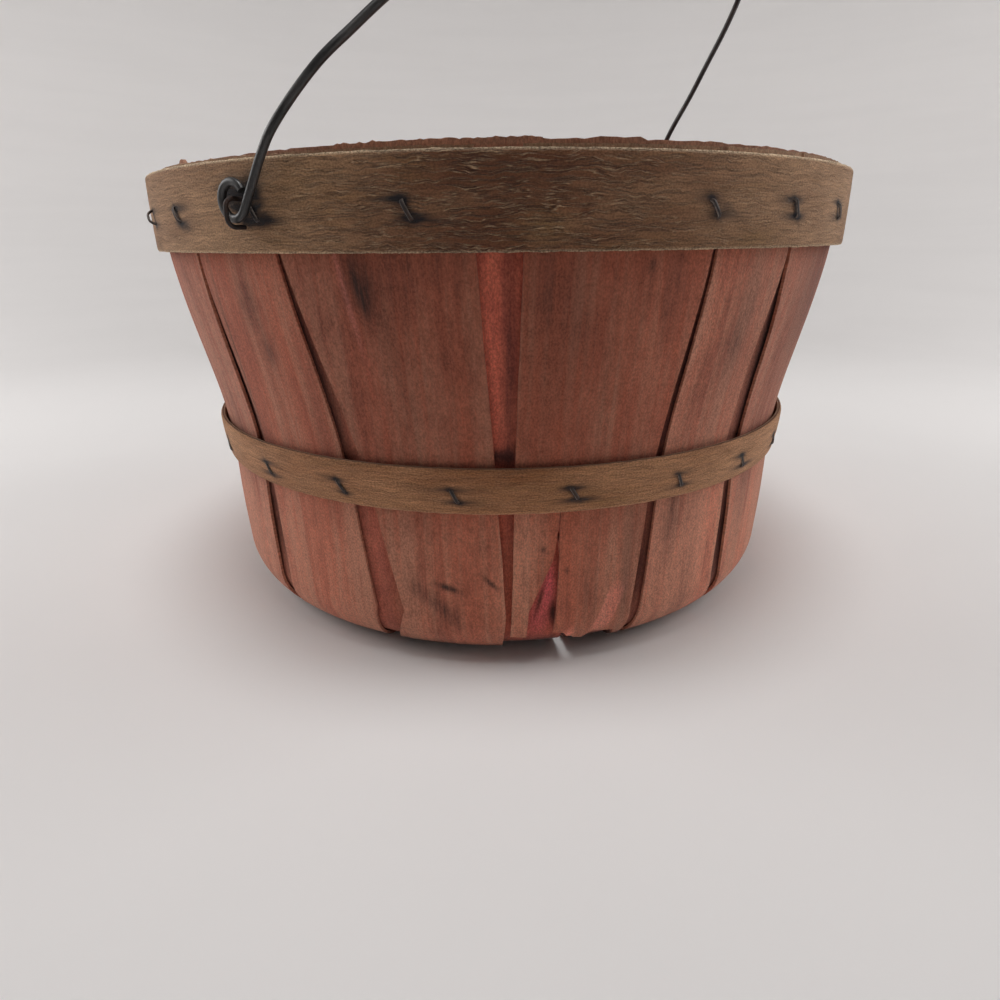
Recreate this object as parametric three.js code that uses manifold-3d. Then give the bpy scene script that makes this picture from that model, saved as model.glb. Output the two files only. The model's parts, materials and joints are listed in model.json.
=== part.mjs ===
import * as THREE from 'three';
import { mergeVertices } from 'three/addons/utils/BufferGeometryUtils.js';
import Module from 'manifold-3d';

const wasm = await Module();
wasm.setup();

// A round half-bushel fruit basket of bent veneer splints, held by hoops and wire staples.
// Millimetres, +Z up, the basket's axis on Z and the floor at zero. The front is -Y,
// and angles run from the front towards +X.

// Clearances
const fit = 0.15; // between a face and the flats of the face round it
const pierceFit = 0.2; // round a wire that passes through wood
const plyGap = 0.15; // between plies stacked at the middle of the bottom
const linkFit = 0.3; // between the bail's eye and the ear that it rests on

// Outer rim hoop
const rimRadius = 188; // outside
const rimTop = 222;
const rimHoopHeight = 33;
const rimHoopThickness = 4.8;

// Inner rim hoop
const innerHoopHeight = 28;
const innerHoopThickness = 3;
const innerHoopDrop = 1; // below the outer hoop's top

// Belly hoop
const bellyTop = 103;
const bellyHoopHeight = 21.5;
const bellyHoopThickness = 2.2;

// Wall, on the outside of the outer splints
const bellyRadius = 166.3; // at the middle of the belly hoop
const footRadius = 164.3; // where the bottom corner ends
const cornerRadius = 28;
const footLean = 0.015; // run outwards for each rise, at the corner
const bellyLean = 0.045; // at the belly hoop
const rimLean = 0.11; // under the rim hoop

// Bottom
const footWidth = 12; // flat ring that the basket stands on
const archRise = 3; // the middle stands clear of the floor
const waistWidth = 27; // of a splint where it crosses the middle
const footGap = 4; // between neighbouring splints at the foot

// Splints
const veneer = 1.4;
const outerProud = 1.6; // splint tops above the rim hoop
const innerProud = 2.8;
const topUnevenness = 0.9;
const innerGap = 5; // between neighbouring inner splints
const innerTwist = -6.5; // degrees that the inner splints' tops stand to the right of their feet
const innerDrift = 1.2; // wandering of the inner splints' edges, in degrees
const driftTurn = 3; // radians that the wandering moves on from one end to the next
const unevenTurn = 2.4; // the same for the tops' unevenness

// Joints between neighbouring outer splints, from the front round to the right:
// angle in degrees and gap in millimetres at the rim, then the same at the foot.
const outerJoints = [
  [0, 16, 1, 1.5],
  [27, 1.2, 23.3, 4.8],
  [41.9, 1.2, 43.2, 7.9],
  [69, 3, 67.5, 6],
  [88, 4, 90, 5],
  [114.5, 6, 112, 7],
  [133.5, 2, 135.5, 5],
  [159, 5, 157, 6],
  [181, 8, 180, 3],
  [201, 3, 203, 6],
  [226.5, 2, 224.5, 5],
  [246, 6, 248, 7],
  [271, 4, 269.5, 5],
  [291, 3, 293, 6],
  [314.5, 1.2, 315.4, 9.3],
  [332, 1.2, 340.7, 13.9],
];

// The order in which the splints were laid over the middle, lowest first
const layOrder = [0, 4, 2, 6, 1, 5, 3, 7];

// Hoop staples
const stapleWire = 1.4;
const stapleCrown = 8.5;
const stapleTilt = 58; // degrees, the left end higher
const clinchLength = 1.9;
const rimStapleDrop = 1.9; // below the middle of the rim hoop
const bellyStapleDrop = 1.8; // below the middle of the belly hoop
const rimStaplesInFront = [-58, -45.9, -29.2, -9.8, 24.8, 38.9, 52.9]; // degrees, one has fallen out near the middle
const rimStaplesBehind = 11; // spread over the rest of the hoop
const bellyStaplesInFront = [-60.3, -41.6, -25.2, -6.9, 10.6, 28.5, 44.3, 60]; // degrees
const bellyStaplesBehind = 11;
const rimLapStaple = 9; // the staples that hold the hoops' laps, counted from the first in front
const innerLapStaple = 14;
const bellyLapStaple = 12;

// Bottom staple
const bottomWire = 1.4;
const bottomCrown = 13;

// Bail and ears
const earAngle = -31; // degrees, the rear ear stands opposite
const earDrop = 2.2; // the ears' middle, below the middle of the rim hoop
const earWire = 1.8;
const earSpan = 9.9; // between an ear's legs
const earCornerRadius = 2.4;
const clinchBend = 1.6; // radius in the middle of the wire, where the legs fold over inside
const earClinch = 6;
const earStandoff = 1.8; // between the ear's bow and the eye
const bailWire = 3.3;
const bailStandoff = 1.9; // between the bail and the rim hoop, past the staple beside the ear
const eyeInside = 9.4; // diameter of the bail's eye
const eyeTurn = 295; // degrees that the eye's wire runs round
const bailLean = 34.5; // degrees from upright, towards the front right

// How far the bail's arms lean in from their eyes, and how high over the rim's top. The front arm
// is bent further over.
const frontArm = [
  [0, 5],
  [1, 15],
  [5, 26.5],
  [13, 42],
  [22.5, 54.2],
  [31, 64.7],
  [46, 81.5],
  [66, 100.5],
  [96, 121],
  [136, 141],
  [182, 158],
];
const rearArm = [
  [0, 5],
  [2.5, 18],
  [10, 34],
  [23, 56],
  [29, 84],
  [35.7, 105],
  [41, 122.4],
  [50, 140],
  [66, 158],
  [93, 169.5],
  [130, 172],
];

// Fineness
const hoopFacets = 64;
const lapFacets = 2;
const splintFacets = 3;
const slopeSteps = 2;
const cornerSteps = 3;
const lowerWallSteps = 1;
const upperWallSteps = 2;
const wireSides = 8;
const eyeSteps = 12;
const archSteps = 36;
const bendSteps = 3;

// Finishes
const outerRed = { color: 0x74463a, roughness: 0.85, metalness: 0 };
const innerRed = { color: 0x8a3f2c, roughness: 0.85, metalness: 0 };
const rimBrown = { color: 0x7d6a58, roughness: 0.8, metalness: 0 };
const bellyTan = { color: 0x8a6b4a, roughness: 0.8, metalness: 0 };
const wireBlack = { color: 0x2b2826, roughness: 0.6, metalness: 0.8 };

const group = new THREE.Group();
const up = new THREE.Vector3(0, 0, 1);

function addPart(name, geometry, finish) {
  const mesh = new THREE.Mesh(geometry, new THREE.MeshStandardMaterial(finish));
  mesh.name = name;
  group.add(mesh);
  return mesh;
}

function onCircle(radius, angle, height) {
  return new THREE.Vector3(radius * Math.sin(angle), -radius * Math.cos(angle), height);
}

function radialAxis(angle) {
  return onCircle(1, angle, 0);
}

// Solids for cutting
function toSolid(geometry) {
  const bare = geometry.clone();
  bare.deleteAttribute('normal');
  bare.deleteAttribute('uv');
  const merged = mergeVertices(bare);
  const vertProperties = new Float32Array(merged.attributes.position.array);
  const triVerts = new Uint32Array(merged.index.array);
  return new wasm.Manifold(new wasm.Mesh({ numProp: 3, vertProperties, triVerts }));
}

function toGeometry(solid) {
  const mesh = solid.getMesh();
  const geometry = new THREE.BufferGeometry();
  geometry.setAttribute('position', new THREE.BufferAttribute(mesh.vertProperties, 3));
  geometry.setIndex(new THREE.BufferAttribute(mesh.triVerts, 1));
  geometry.computeVertexNormals();
  return geometry;
}

// A plate lofted through rows of points: each row holds the points across the outer face
// and the matching points across the inner face.
function plateGeometry(rows) {
  const across = rows[0].outer.length;
  const positions = [];
  const index = [];
  for (const row of rows) {
    for (const point of [...row.outer, ...row.inner]) positions.push(point.x, point.y, point.z);
  }
  const at = (row, side, column) => (row * 2 + side) * across + column;
  const quad = (a, b, c, d) => index.push(a, b, c, a, c, d);
  const end = rows.length - 1;
  const edge = across - 1;
  for (let row = 0; row < end; row++) {
    for (let column = 0; column < edge; column++) {
      quad(at(row, 0, column), at(row, 0, column + 1), at(row + 1, 0, column + 1), at(row + 1, 0, column));
      quad(at(row, 1, column), at(row + 1, 1, column), at(row + 1, 1, column + 1), at(row, 1, column + 1));
    }
    quad(at(row, 0, 0), at(row + 1, 0, 0), at(row + 1, 1, 0), at(row, 1, 0));
    quad(at(row, 0, edge), at(row, 1, edge), at(row + 1, 1, edge), at(row + 1, 0, edge));
  }
  for (let column = 0; column < edge; column++) {
    quad(at(0, 0, column), at(0, 1, column), at(0, 1, column + 1), at(0, 0, column + 1));
    quad(at(end, 0, column), at(end, 0, column + 1), at(end, 1, column + 1), at(end, 1, column));
  }
  const geometry = new THREE.BufferGeometry();
  geometry.setAttribute('position', new THREE.Float32BufferAttribute(positions, 3));
  geometry.setIndex(index);
  return geometry;
}

// Round wire through a list of points
class WirePath extends THREE.Curve {
  constructor(points) {
    super();
    this.points = points;
  }

  getPoint(t, target = new THREE.Vector3()) {
    const place = t * (this.points.length - 1);
    const first = Math.min(Math.floor(place), this.points.length - 2);
    return target.lerpVectors(this.points[first], this.points[first + 1], place - first);
  }

  getPointAt(t, target) {
    return this.getPoint(t, target);
  }

  getTangentAt(t, target = new THREE.Vector3()) {
    const last = this.points.length - 1;
    const place = Math.round(t * last);
    const before = this.points[Math.max(place - 1, 0)];
    const after = this.points[Math.min(place + 1, last)];
    return target.subVectors(after, before).normalize();
  }
}

function wireGeometry(points, diameter) {
  const section = [];
  for (let side = 0; side < wireSides; side++) {
    const angle = (side / wireSides) * 2 * Math.PI;
    section.push(new THREE.Vector2(Math.cos(angle), Math.sin(angle)).multiplyScalar(diameter / 2));
  }
  const extrudePath = new WirePath(points);
  const steps = points.length - 1;
  return new THREE.ExtrudeGeometry(new THREE.Shape(section), { steps, extrudePath, bevelEnabled: false });
}

// The wall's curve
const hoopFacet = (2 * Math.PI) / hoopFacets;
const flatShare = Math.cos(hoopFacet / 2); // a hoop's flats lie this much nearer the axis than its corners
const rimBottom = rimTop - rimHoopHeight;
const rimMiddle = (rimTop + rimBottom) / 2;
const wallTopRadius = (rimRadius - rimHoopThickness) * flatShare - fit;
const bellyBottom = bellyTop - bellyHoopHeight;
const bellyMiddle = (bellyTop + bellyBottom) / 2;

function hermite(height, from, to) {
  const run = to.height - from.height;
  const t = (height - from.height) / run;
  const start = from.radius * (1 + 2 * t) + from.lean * run * t;
  const finish = to.radius * (3 - 2 * t) + to.lean * run * (t - 1);
  return start * (1 - t) ** 2 + finish * t ** 2;
}

const wallKnots = [
  { height: cornerRadius, radius: footRadius, lean: footLean },
  { height: bellyMiddle, radius: bellyRadius, lean: bellyLean },
  { height: rimBottom, radius: wallTopRadius, lean: rimLean },
];

function wallRadius(height) {
  const [foot, belly, rim] = wallKnots;
  return height < bellyMiddle ? hermite(height, foot, belly) : hermite(height, belly, rim);
}

// Heights of the wall's bends between the corner and the rim hoop, with one at each edge of the belly hoop
const lowerHeights = steps(cornerRadius, bellyBottom, lowerWallSteps).slice(1);
const upperHeights = steps(bellyTop, rimBottom, upperWallSteps).slice(0, -1);
const wallHeights = [...lowerHeights, ...upperHeights];

function steps(from, to, count) {
  return Array.from({ length: count + 1 }, (_, step) => THREE.MathUtils.lerp(from, to, step / count));
}

function wallLean(height) {
  const step = 1;
  return (wallRadius(height + step) - wallRadius(height - step)) / (2 * step);
}

// Splint layers
const endCount = outerJoints.length;
const pitch = (2 * Math.PI) / endCount;
const splintCount = endCount / 2;
const ply = veneer + plyGap;
const splitRadius = (waistWidth + footGap) / 2 / Math.sin(pitch / 2); // splints part from here outwards
const footOuter = footRadius - cornerRadius;
const footInner = footOuter - footWidth;

const nominalJoint = (end, shift) => (end + shift) * pitch;
const wander = (end) => THREE.MathUtils.degToRad(innerDrift) * Math.sin(driftTurn * end);

function outerJoint(end) {
  const [rimAngle, rimGap, baseAngle, baseGap] = outerJoints[end % endCount];
  const turn = end >= endCount ? 2 * Math.PI : 0;
  return {
    foot: nominalJoint(end, 0),
    base: THREE.MathUtils.degToRad(baseAngle) + turn,
    rim: THREE.MathUtils.degToRad(rimAngle) + turn,
    baseGap,
    rimGap,
  };
}

function innerJoint(end) {
  const foot = nominalJoint(end, 0.5);
  const drift = wander(end % endCount);
  const rim = foot - drift + THREE.MathUtils.degToRad(innerTwist);
  return { foot, base: foot + drift, rim, baseGap: innerGap, rimGap: innerGap };
}

const endWidths = outerJoints.map((joint, end) => outerJoint(end + 1).rim - outerJoint(end).rim);
const widestFacet = Math.max(...endWidths) / splintFacets;
const facetDip = wallTopRadius * (1 - Math.cos(widestFacet / 2));
const innerInset = veneer + facetDip + fit;
const wallDepth = innerInset + veneer;

// Stations along one half of a splint, from the middle of the bottom up to its top. Each has its
// place on the outer face, the direction in which the veneer's thickness runs, and how far it is
// on the way from foot to base and from base to rim.
function splintStations(level, inset, top) {
  const stations = [];
  const add = (radius, height, along, toBase, toRim) => {
    const place = { radius: radius + inset * along.x, height: height + inset * along.y };
    stations.push({ ...place, along, toBase, toRim });
  };
  const rising = new THREE.Vector2(0, 1);
  const inwards = new THREE.Vector2(-1, 0);
  for (let step = 0; step <= slopeSteps; step++) {
    const share = step / slopeSteps;
    const radius = THREE.MathUtils.lerp(splitRadius, footInner, share);
    const drop = THREE.MathUtils.smoothstep(share, 0, 1);
    add(radius, (level - inset) * (1 - drop), rising, 0, 0);
  }
  for (let step = 0; step <= cornerSteps; step++) {
    const share = step / cornerSteps;
    const turn = (share * Math.PI) / 2;
    const along = new THREE.Vector2(-Math.sin(turn), Math.cos(turn));
    const radius = footOuter + cornerRadius * Math.sin(turn);
    add(radius, cornerRadius * (1 - Math.cos(turn)), along, share, 0);
  }
  for (const height of wallHeights) {
    const share = (height - cornerRadius) / (rimBottom - cornerRadius);
    add(wallRadius(height), height, new THREE.Vector2(-1, wallLean(height)).normalize(), 1, share);
  }
  add(wallTopRadius, rimBottom, inwards, 1, 1);
  add(wallTopRadius, top, inwards, 1, 1);
  return stations;
}

function jointAt(joint, station) {
  const wallAngle = THREE.MathUtils.lerp(joint.base, joint.rim, station.toRim);
  const wallGap = THREE.MathUtils.lerp(joint.baseGap, joint.rimGap, station.toRim);
  const gap = THREE.MathUtils.lerp(footGap, wallGap, station.toBase);
  const angle = THREE.MathUtils.lerp(joint.foot, wallAngle, station.toBase);
  return { angle, half: gap / 2 / station.radius };
}

function stationRow(station, left, right) {
  const from = jointAt(left, station);
  const to = jointAt(right, station);
  const outer = [];
  const inner = [];
  for (let column = 0; column <= splintFacets; column++) {
    const angle = THREE.MathUtils.lerp(from.angle + from.half, to.angle - to.half, column / splintFacets);
    outer.push(onCircle(station.radius, angle, station.height));
    const radius = station.radius + veneer * station.along.x;
    inner.push(onCircle(radius, angle, station.height + veneer * station.along.y));
  }
  return { outer, inner };
}

// One splint runs down the wall at one end, over the bottom and up the wall opposite.
function splintGeometry(splint, layer) {
  const level = archRise + (layer.firstPly + layOrder.indexOf(splint)) * ply;
  const half = (end) => {
    const top = rimTop + layer.proud + topUnevenness * Math.sin(unevenTurn * end + layer.firstPly);
    const stations = splintStations(level, layer.inset, top);
    return stations.map((station) => stationRow(station, layer.joint(end), layer.joint(end + 1)));
  };
  const near = half(splint);
  const far = half(splint + splintCount).reverse();
  for (const row of far) {
    row.outer.reverse();
    row.inner.reverse();
  }
  return plateGeometry([...far, ...near]);
}

// Hoops are strips whose ends overlap in a lap. side is 1 where the lap lies outwards, -1 inwards.
function makeHoop(inside, thickness, bottom, top, lapAngle, side) {
  const lapStart = Math.round(lapAngle / hoopFacet - lapFacets / 2) * hoopFacet;
  const lift = side * (thickness + fit);
  const rows = [];
  for (let row = 0; row <= hoopFacets + lapFacets; row++) {
    const angle = lapStart + row * hoopFacet;
    const raise = row >= hoopFacets ? lift : 0;
    const outwards = (radius, height) => onCircle(radius + raise, angle, height);
    rows.push({
      outer: [outwards(inside.top + thickness, top), outwards(inside.bottom + thickness, bottom)],
      inner: [outwards(inside.top, top), outwards(inside.bottom, bottom)],
    });
  }
  const raiseAt = (angle) => {
    const past = THREE.MathUtils.euclideanModulo(angle - lapStart, 2 * Math.PI);
    return past <= lapFacets * hoopFacet ? lift : 0;
  };
  return { geometry: plateGeometry(rows), raiseAt };
}

function stapleAngles(inFront, behind) {
  const last = inFront[inFront.length - 1];
  const spacing = (inFront[0] + 360 - last) / (behind + 1);
  const others = Array.from({ length: behind }, (_, place) => last + spacing * (place + 1));
  return [...inFront, ...others].map((degrees) => THREE.MathUtils.degToRad(degrees));
}
const rimStapleAngles = stapleAngles(rimStaplesInFront, rimStaplesBehind);
const bellyStapleAngles = stapleAngles(bellyStaplesInFront, bellyStaplesBehind);

const rimInside = rimRadius - rimHoopThickness;
const innerHoopOutside = (wallTopRadius - wallDepth) * Math.cos(widestFacet / 2) - fit;
const innerHoopInside = innerHoopOutside - innerHoopThickness;
const innerHoopTop = rimTop - innerHoopDrop;
const bellyInside = (height) => (wallRadius(height) + fit) / flatShare;

const rimHoop = makeHoop(
  { top: rimInside, bottom: rimInside },
  rimHoopThickness,
  rimBottom,
  rimTop,
  rimStapleAngles[rimLapStaple],
  1,
);
const innerHoop = makeHoop(
  { top: innerHoopInside, bottom: innerHoopInside },
  innerHoopThickness,
  innerHoopTop - innerHoopHeight,
  innerHoopTop,
  rimStapleAngles[innerLapStaple],
  -1,
);
const bellyHoop = makeHoop(
  { top: bellyInside(bellyTop), bottom: bellyInside(bellyBottom) },
  bellyHoopThickness,
  bellyBottom,
  bellyTop,
  bellyStapleAngles[bellyLapStaple],
  1,
);

// Wire staples: a crown outside, two legs through the wood and ends clinched inside. The origin is
// under the crown, and reach is how deep the legs go.
function stapleGeometry(crown, wire, reach, clinch) {
  const half = crown / 2;
  const leg = half - wire;
  const tip = leg - clinch;
  const outline = [
    [-half, wire], [-half, -reach - wire], [-tip, -reach - wire], [-tip, -reach], [-leg, -reach], [-leg, 0],
    [leg, 0], [leg, -reach], [tip, -reach], [tip, -reach - wire], [half, -reach - wire], [half, wire],
  ];
  const shape = new THREE.Shape(outline.map(([along, out]) => new THREE.Vector2(along, out)));
  const geometry = new THREE.ExtrudeGeometry(shape, { depth: wire, bevelEnabled: false });
  return geometry.translate(0, 0, -wire / 2);
}

// The slit that the legs open in the wood, longer than the wood is thick
function legSlit(crown, wire, reach) {
  const slit = new THREE.BoxGeometry(crown + 2 * pierceFit, reach + 2 * wire, wire + 2 * pierceFit);
  return slit.translate(0, -reach / 2, 0);
}

function staplePlacement(angle, height, radius, tilt) {
  const out = radialAxis(angle);
  const right = new THREE.Vector3().crossVectors(up, out);
  const along = right.multiplyScalar(Math.cos(tilt)).addScaledVector(up, -Math.sin(tilt));
  const across = new THREE.Vector3().crossVectors(along, out);
  return new THREE.Matrix4().makeBasis(along, out, across).setPosition(onCircle(radius, angle, height));
}

const staples = [];
let cutters = null;

function cutLater(geometry) {
  const solid = toSolid(geometry);
  cutters = cutters ? cutters.add(solid) : solid;
}

function addStaple(name, placement, crown, wire, reach, clinch) {
  staples.push({ name, geometry: stapleGeometry(crown, wire, reach, clinch).applyMatrix4(placement) });
  cutLater(legSlit(crown, wire, reach).applyMatrix4(placement));
}

const twoDigits = (number) => String(number).padStart(2, '0');
const tilt = THREE.MathUtils.degToRad(stapleTilt);
const earTurn = THREE.MathUtils.degToRad(earAngle);

const rimStapleHeight = rimMiddle - rimStapleDrop;
for (const [place, angle] of rimStapleAngles.entries()) {
  const crownRadius = rimRadius + rimHoop.raiseAt(angle) + fit;
  const clinchRadius = innerHoopInside * flatShare + innerHoop.raiseAt(angle) - fit;
  const placement = staplePlacement(angle, rimStapleHeight, crownRadius, tilt);
  const name = `rim_staple_${twoDigits(place + 1)}`;
  addStaple(name, placement, stapleCrown, stapleWire, crownRadius - clinchRadius, clinchLength);
}

const bellySway = (stapleCrown / 2 + bellyStapleDrop) * bellyLean; // the wall leans under the staple's height
const bellyOutside = bellyInside(bellyMiddle) + bellyHoopThickness;
const bellyStapleHeight = bellyMiddle - bellyStapleDrop;
for (const [place, angle] of bellyStapleAngles.entries()) {
  const crownRadius = bellyOutside + bellyHoop.raiseAt(angle) + bellySway + fit;
  const clinchRadius = (bellyRadius - wallDepth) * Math.cos(widestFacet / 2) - bellySway - fit;
  const placement = staplePlacement(angle, bellyStapleHeight, crownRadius, tilt);
  const name = `belly_staple_${twoDigits(place + 1)}`;
  addStaple(name, placement, stapleCrown, stapleWire, crownRadius - clinchRadius, clinchLength);
}

const stackHeight = 2 * splintCount * ply;
const underside = new THREE.Matrix4().makeRotationX(-Math.PI / 2).setPosition(0, 0, archRise - fit);
addStaple('bottom_staple', underside, bottomCrown, bottomWire, stackHeight + 2 * fit, clinchLength);

// Ears: wire loops through the rim, whose upper leg is the pivot that carries the bail's eye
const pivotHeight = rimMiddle - earDrop + earSpan / 2;
const bailEyeRadius = (eyeInside + bailWire) / 2;
const eyePlace = rimRadius + bailStandoff + bailWire / 2;
const bowPlace = eyePlace + (bailWire + earWire) / 2 + earStandoff;
const earInside = innerHoopInside * flatShare - fit - clinchBend;

function bend(along, height, radius, from, to) {
  return steps(from, to, bendSteps).map((degrees) => {
    const angle = THREE.MathUtils.degToRad(degrees);
    return [along + radius * Math.cos(angle), height + radius * Math.sin(angle)];
  });
}

function earGeometry(angle) {
  const upper = pivotHeight;
  const lower = pivotHeight - earSpan;
  const bow = bowPlace - earCornerRadius;
  const clinch = earInside + clinchBend;
  const route = [
    [earInside, upper + earClinch],
    ...bend(clinch, upper + clinchBend, clinchBend, 180, 270),
    ...bend(bow, upper - earCornerRadius, earCornerRadius, 90, 0),
    ...bend(bow, lower + earCornerRadius, earCornerRadius, 0, -90),
    ...bend(clinch, lower - clinchBend, clinchBend, 90, 180),
    [earInside, lower - earClinch],
  ];
  return wireGeometry(route.map(([radius, height]) => onCircle(radius, angle, height)), earWire);
}

function earHoles(angle) {
  const radius = earWire / 2 + pierceFit;
  const length = rimRadius - earInside + 2 * earWire;
  const legs = [pivotHeight, pivotHeight - earSpan];
  return legs.map((height) => {
    const hole = new THREE.CylinderGeometry(radius, radius, length, wireSides);
    const placement = staplePlacement(angle, height, (rimRadius + earInside) / 2, 0);
    return hole.applyMatrix4(placement);
  });
}

const ears = [
  { name: 'front_ear', angle: earTurn },
  { name: 'rear_ear', angle: earTurn + Math.PI },
];
for (const ear of ears) {
  for (const hole of earHoles(ear.angle)) cutLater(hole);
}

// The bail, upright over its pivot: X runs along the pivot towards the front ear
function bailGeometry() {
  const eyeReach = bailEyeRadius + bailWire / 2;
  const hang = earSpan - earWire / 2 - linkFit - eyeReach; // the eye rests on the ear's lower leg
  const arm = [];
  const eyeEnd = THREE.MathUtils.degToRad(eyeTurn);
  for (let step = 0; step <= eyeSteps; step++) {
    const angle = -eyeEnd * (1 - step / eyeSteps);
    const sideways = bailEyeRadius * Math.cos(angle);
    arm.push(new THREE.Vector3(eyePlace, sideways, bailEyeRadius * Math.sin(angle) - hang));
  }
  const inPlane = (along, rise) => new THREE.Vector3(along, bailEyeRadius, rimTop - pivotHeight + rise);
  const rising = frontArm.map(([inset, rise]) => inPlane(eyePlace - inset, rise));
  const falling = rearArm.map(([inset, rise]) => inPlane(inset - eyePlace, rise)).reverse();
  const arch = new THREE.CatmullRomCurve3([...rising, ...falling]);
  const otherArm = arm.map((point) => new THREE.Vector3(-point.x, point.y, point.z)).reverse();
  return wireGeometry([...arm, ...arch.getSpacedPoints(archSteps), ...otherArm], bailWire);
}

// Outer and inner splints
const layers = [
  {
    name: 'outer_splint',
    joint: outerJoint,
    firstPly: 0,
    inset: 0,
    proud: outerProud,
    finish: outerRed,
  },
  {
    name: 'inner_splint',
    joint: innerJoint,
    firstPly: splintCount,
    inset: innerInset,
    proud: innerProud,
    finish: innerRed,
  },
];
for (const layer of layers) {
  for (let splint = 0; splint < splintCount; splint++) {
    const pierced = toSolid(splintGeometry(splint, layer)).subtract(cutters);
    addPart(`${layer.name}_${splint + 1}`, toGeometry(pierced), layer.finish);
  }
}

const hoops = [
  { name: 'outer_rim_hoop', hoop: rimHoop, finish: rimBrown },
  { name: 'inner_rim_hoop', hoop: innerHoop, finish: rimBrown },
  { name: 'belly_hoop', hoop: bellyHoop, finish: bellyTan },
];
for (const { name, hoop, finish } of hoops) {
  addPart(name, toGeometry(toSolid(hoop.geometry).subtract(cutters)), finish);
}

for (const { name, geometry } of staples) addPart(name, geometry, wireBlack);
for (const { name, angle } of ears) addPart(name, earGeometry(angle), wireBlack);

const bail = addPart('bail', bailGeometry(), wireBlack);
const lean = new THREE.Matrix4().makeRotationX(-THREE.MathUtils.degToRad(bailLean));
const towardsEar = radialAxis(earTurn);
const pivot = new THREE.Matrix4().makeBasis(towardsEar, new THREE.Vector3().crossVectors(up, towardsEar), up);
pivot.setPosition(0, 0, pivotHeight);
bail.applyMatrix4(pivot.multiply(lean));

export default group;
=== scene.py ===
import json
import math
import random

import bpy
from mathutils import Matrix, Vector, noise


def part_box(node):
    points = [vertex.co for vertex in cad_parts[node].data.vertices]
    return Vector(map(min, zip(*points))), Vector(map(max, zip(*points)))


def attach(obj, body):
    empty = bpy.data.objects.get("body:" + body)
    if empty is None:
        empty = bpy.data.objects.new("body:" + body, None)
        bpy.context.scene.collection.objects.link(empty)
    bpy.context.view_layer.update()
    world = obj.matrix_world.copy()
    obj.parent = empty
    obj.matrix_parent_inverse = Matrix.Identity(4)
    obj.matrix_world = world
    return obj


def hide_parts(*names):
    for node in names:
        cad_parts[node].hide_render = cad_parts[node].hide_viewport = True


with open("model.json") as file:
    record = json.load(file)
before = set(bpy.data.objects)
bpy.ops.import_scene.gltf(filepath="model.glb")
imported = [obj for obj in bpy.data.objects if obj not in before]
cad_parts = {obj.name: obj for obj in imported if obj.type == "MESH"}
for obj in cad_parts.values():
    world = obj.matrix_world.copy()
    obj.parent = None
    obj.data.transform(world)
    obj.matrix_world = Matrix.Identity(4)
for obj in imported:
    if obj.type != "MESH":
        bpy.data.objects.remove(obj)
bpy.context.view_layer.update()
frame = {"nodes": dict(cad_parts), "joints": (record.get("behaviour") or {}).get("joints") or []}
scene = bpy.context.scene
scene.view_settings.view_transform = "Standard"
print("frame loaded,", len(frame["nodes"]), "nodes")

# Metres, the front is -Y, and angles run from the front towards +X.
basket = {
    "ends": 16,              # splint ends round the wall
    "veneer": 0.0014,
    "innerInset": 0.00218,   # outer face of the inner layer, behind the outer face of the wall
    "wallTopRadius": 0.18283,
    "bellyRadius": 0.1663,
    "footRadius": 0.1643,
    "cornerRadius": 0.028,
    "footWidth": 0.012,
    "footGap": 0.004,
    "splitRadius": 0.07945,  # splints part from here outwards
    "footLean": 0.015,
    "bellyLean": 0.045,
    "rimLean": 0.11,
}
pitch = 2 * math.pi / basket["ends"]
rimBottom, rimTop = (corner.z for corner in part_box("outer_rim_hoop"))
bellyBottom, bellyTop = (corner.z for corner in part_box("belly_hoop"))
bellyMiddle = (bellyBottom + bellyTop) / 2
pivot = Vector(frame["joints"][0]["pos_m"])
towardsEar = Vector(frame["joints"][0]["axis"])


# Small helpers for shapes
def lerp(start, end, share):
    return start + (end - start) * share


def clamp(value, low=0.0, high=1.0):
    return min(max(value, low), high)


def smooth(value):
    value = clamp(value)
    return value * value * (3 - 2 * value)


def arch(value):
    return math.sin(math.pi * clamp(value))


def waver(x, y, z=0.0):
    return noise.noise(Vector((x, y, z)))


def onCircle(radius, angle, height):
    return Vector((radius * math.sin(angle), -radius * math.cos(angle), height))


def turnFrom(angle, middle):
    return math.remainder(angle - middle, 2 * math.pi)


def angleOf(point):
    return math.atan2(point.x, -point.y)


# The values at one place of a list of rows, whose first numbers rise
def readOff(rows, place):
    for low, high in zip(rows, rows[1:]):
        if place <= high[0]:
            share = clamp((place - low[0]) / (high[0] - low[0]))
            return [lerp(first, last, share) for first, last in zip(low[1:], high[1:])]
    return list(rows[-1][1:])


def hermite(height, start, end):
    run = end[0] - start[0]
    share = (height - start[0]) / run
    rising = start[1] * (1 + 2 * share) + start[2] * run * share
    landing = end[1] * (3 - 2 * share) + end[2] * run * (share - 1)
    return rising * (1 - share) ** 2 + landing * share ** 2


def wallRadius(height):
    foot = (basket["cornerRadius"], basket["footRadius"], basket["footLean"])
    belly = (bellyMiddle, basket["bellyRadius"], basket["bellyLean"])
    rim = (rimBottom, basket["wallTopRadius"], basket["rimLean"])
    if height >= rimBottom:
        return basket["wallTopRadius"]
    return hermite(height, foot, belly) if height < bellyMiddle else hermite(height, belly, rim)


# A mark on the wood: its middle (degrees, metres), half sizes, a slant in degrees for each metre of height,
# and what it adds. It fades all round, or covers some degrees to the right of its line.
def woodMark(angle, height, width, length, slant=0.0, toRight=None, **adds):
    return {"angle": angle, "height": height, "width": width, "length": length, "slant": slant,
            "toRight": toRight, "adds": adds}


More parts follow.
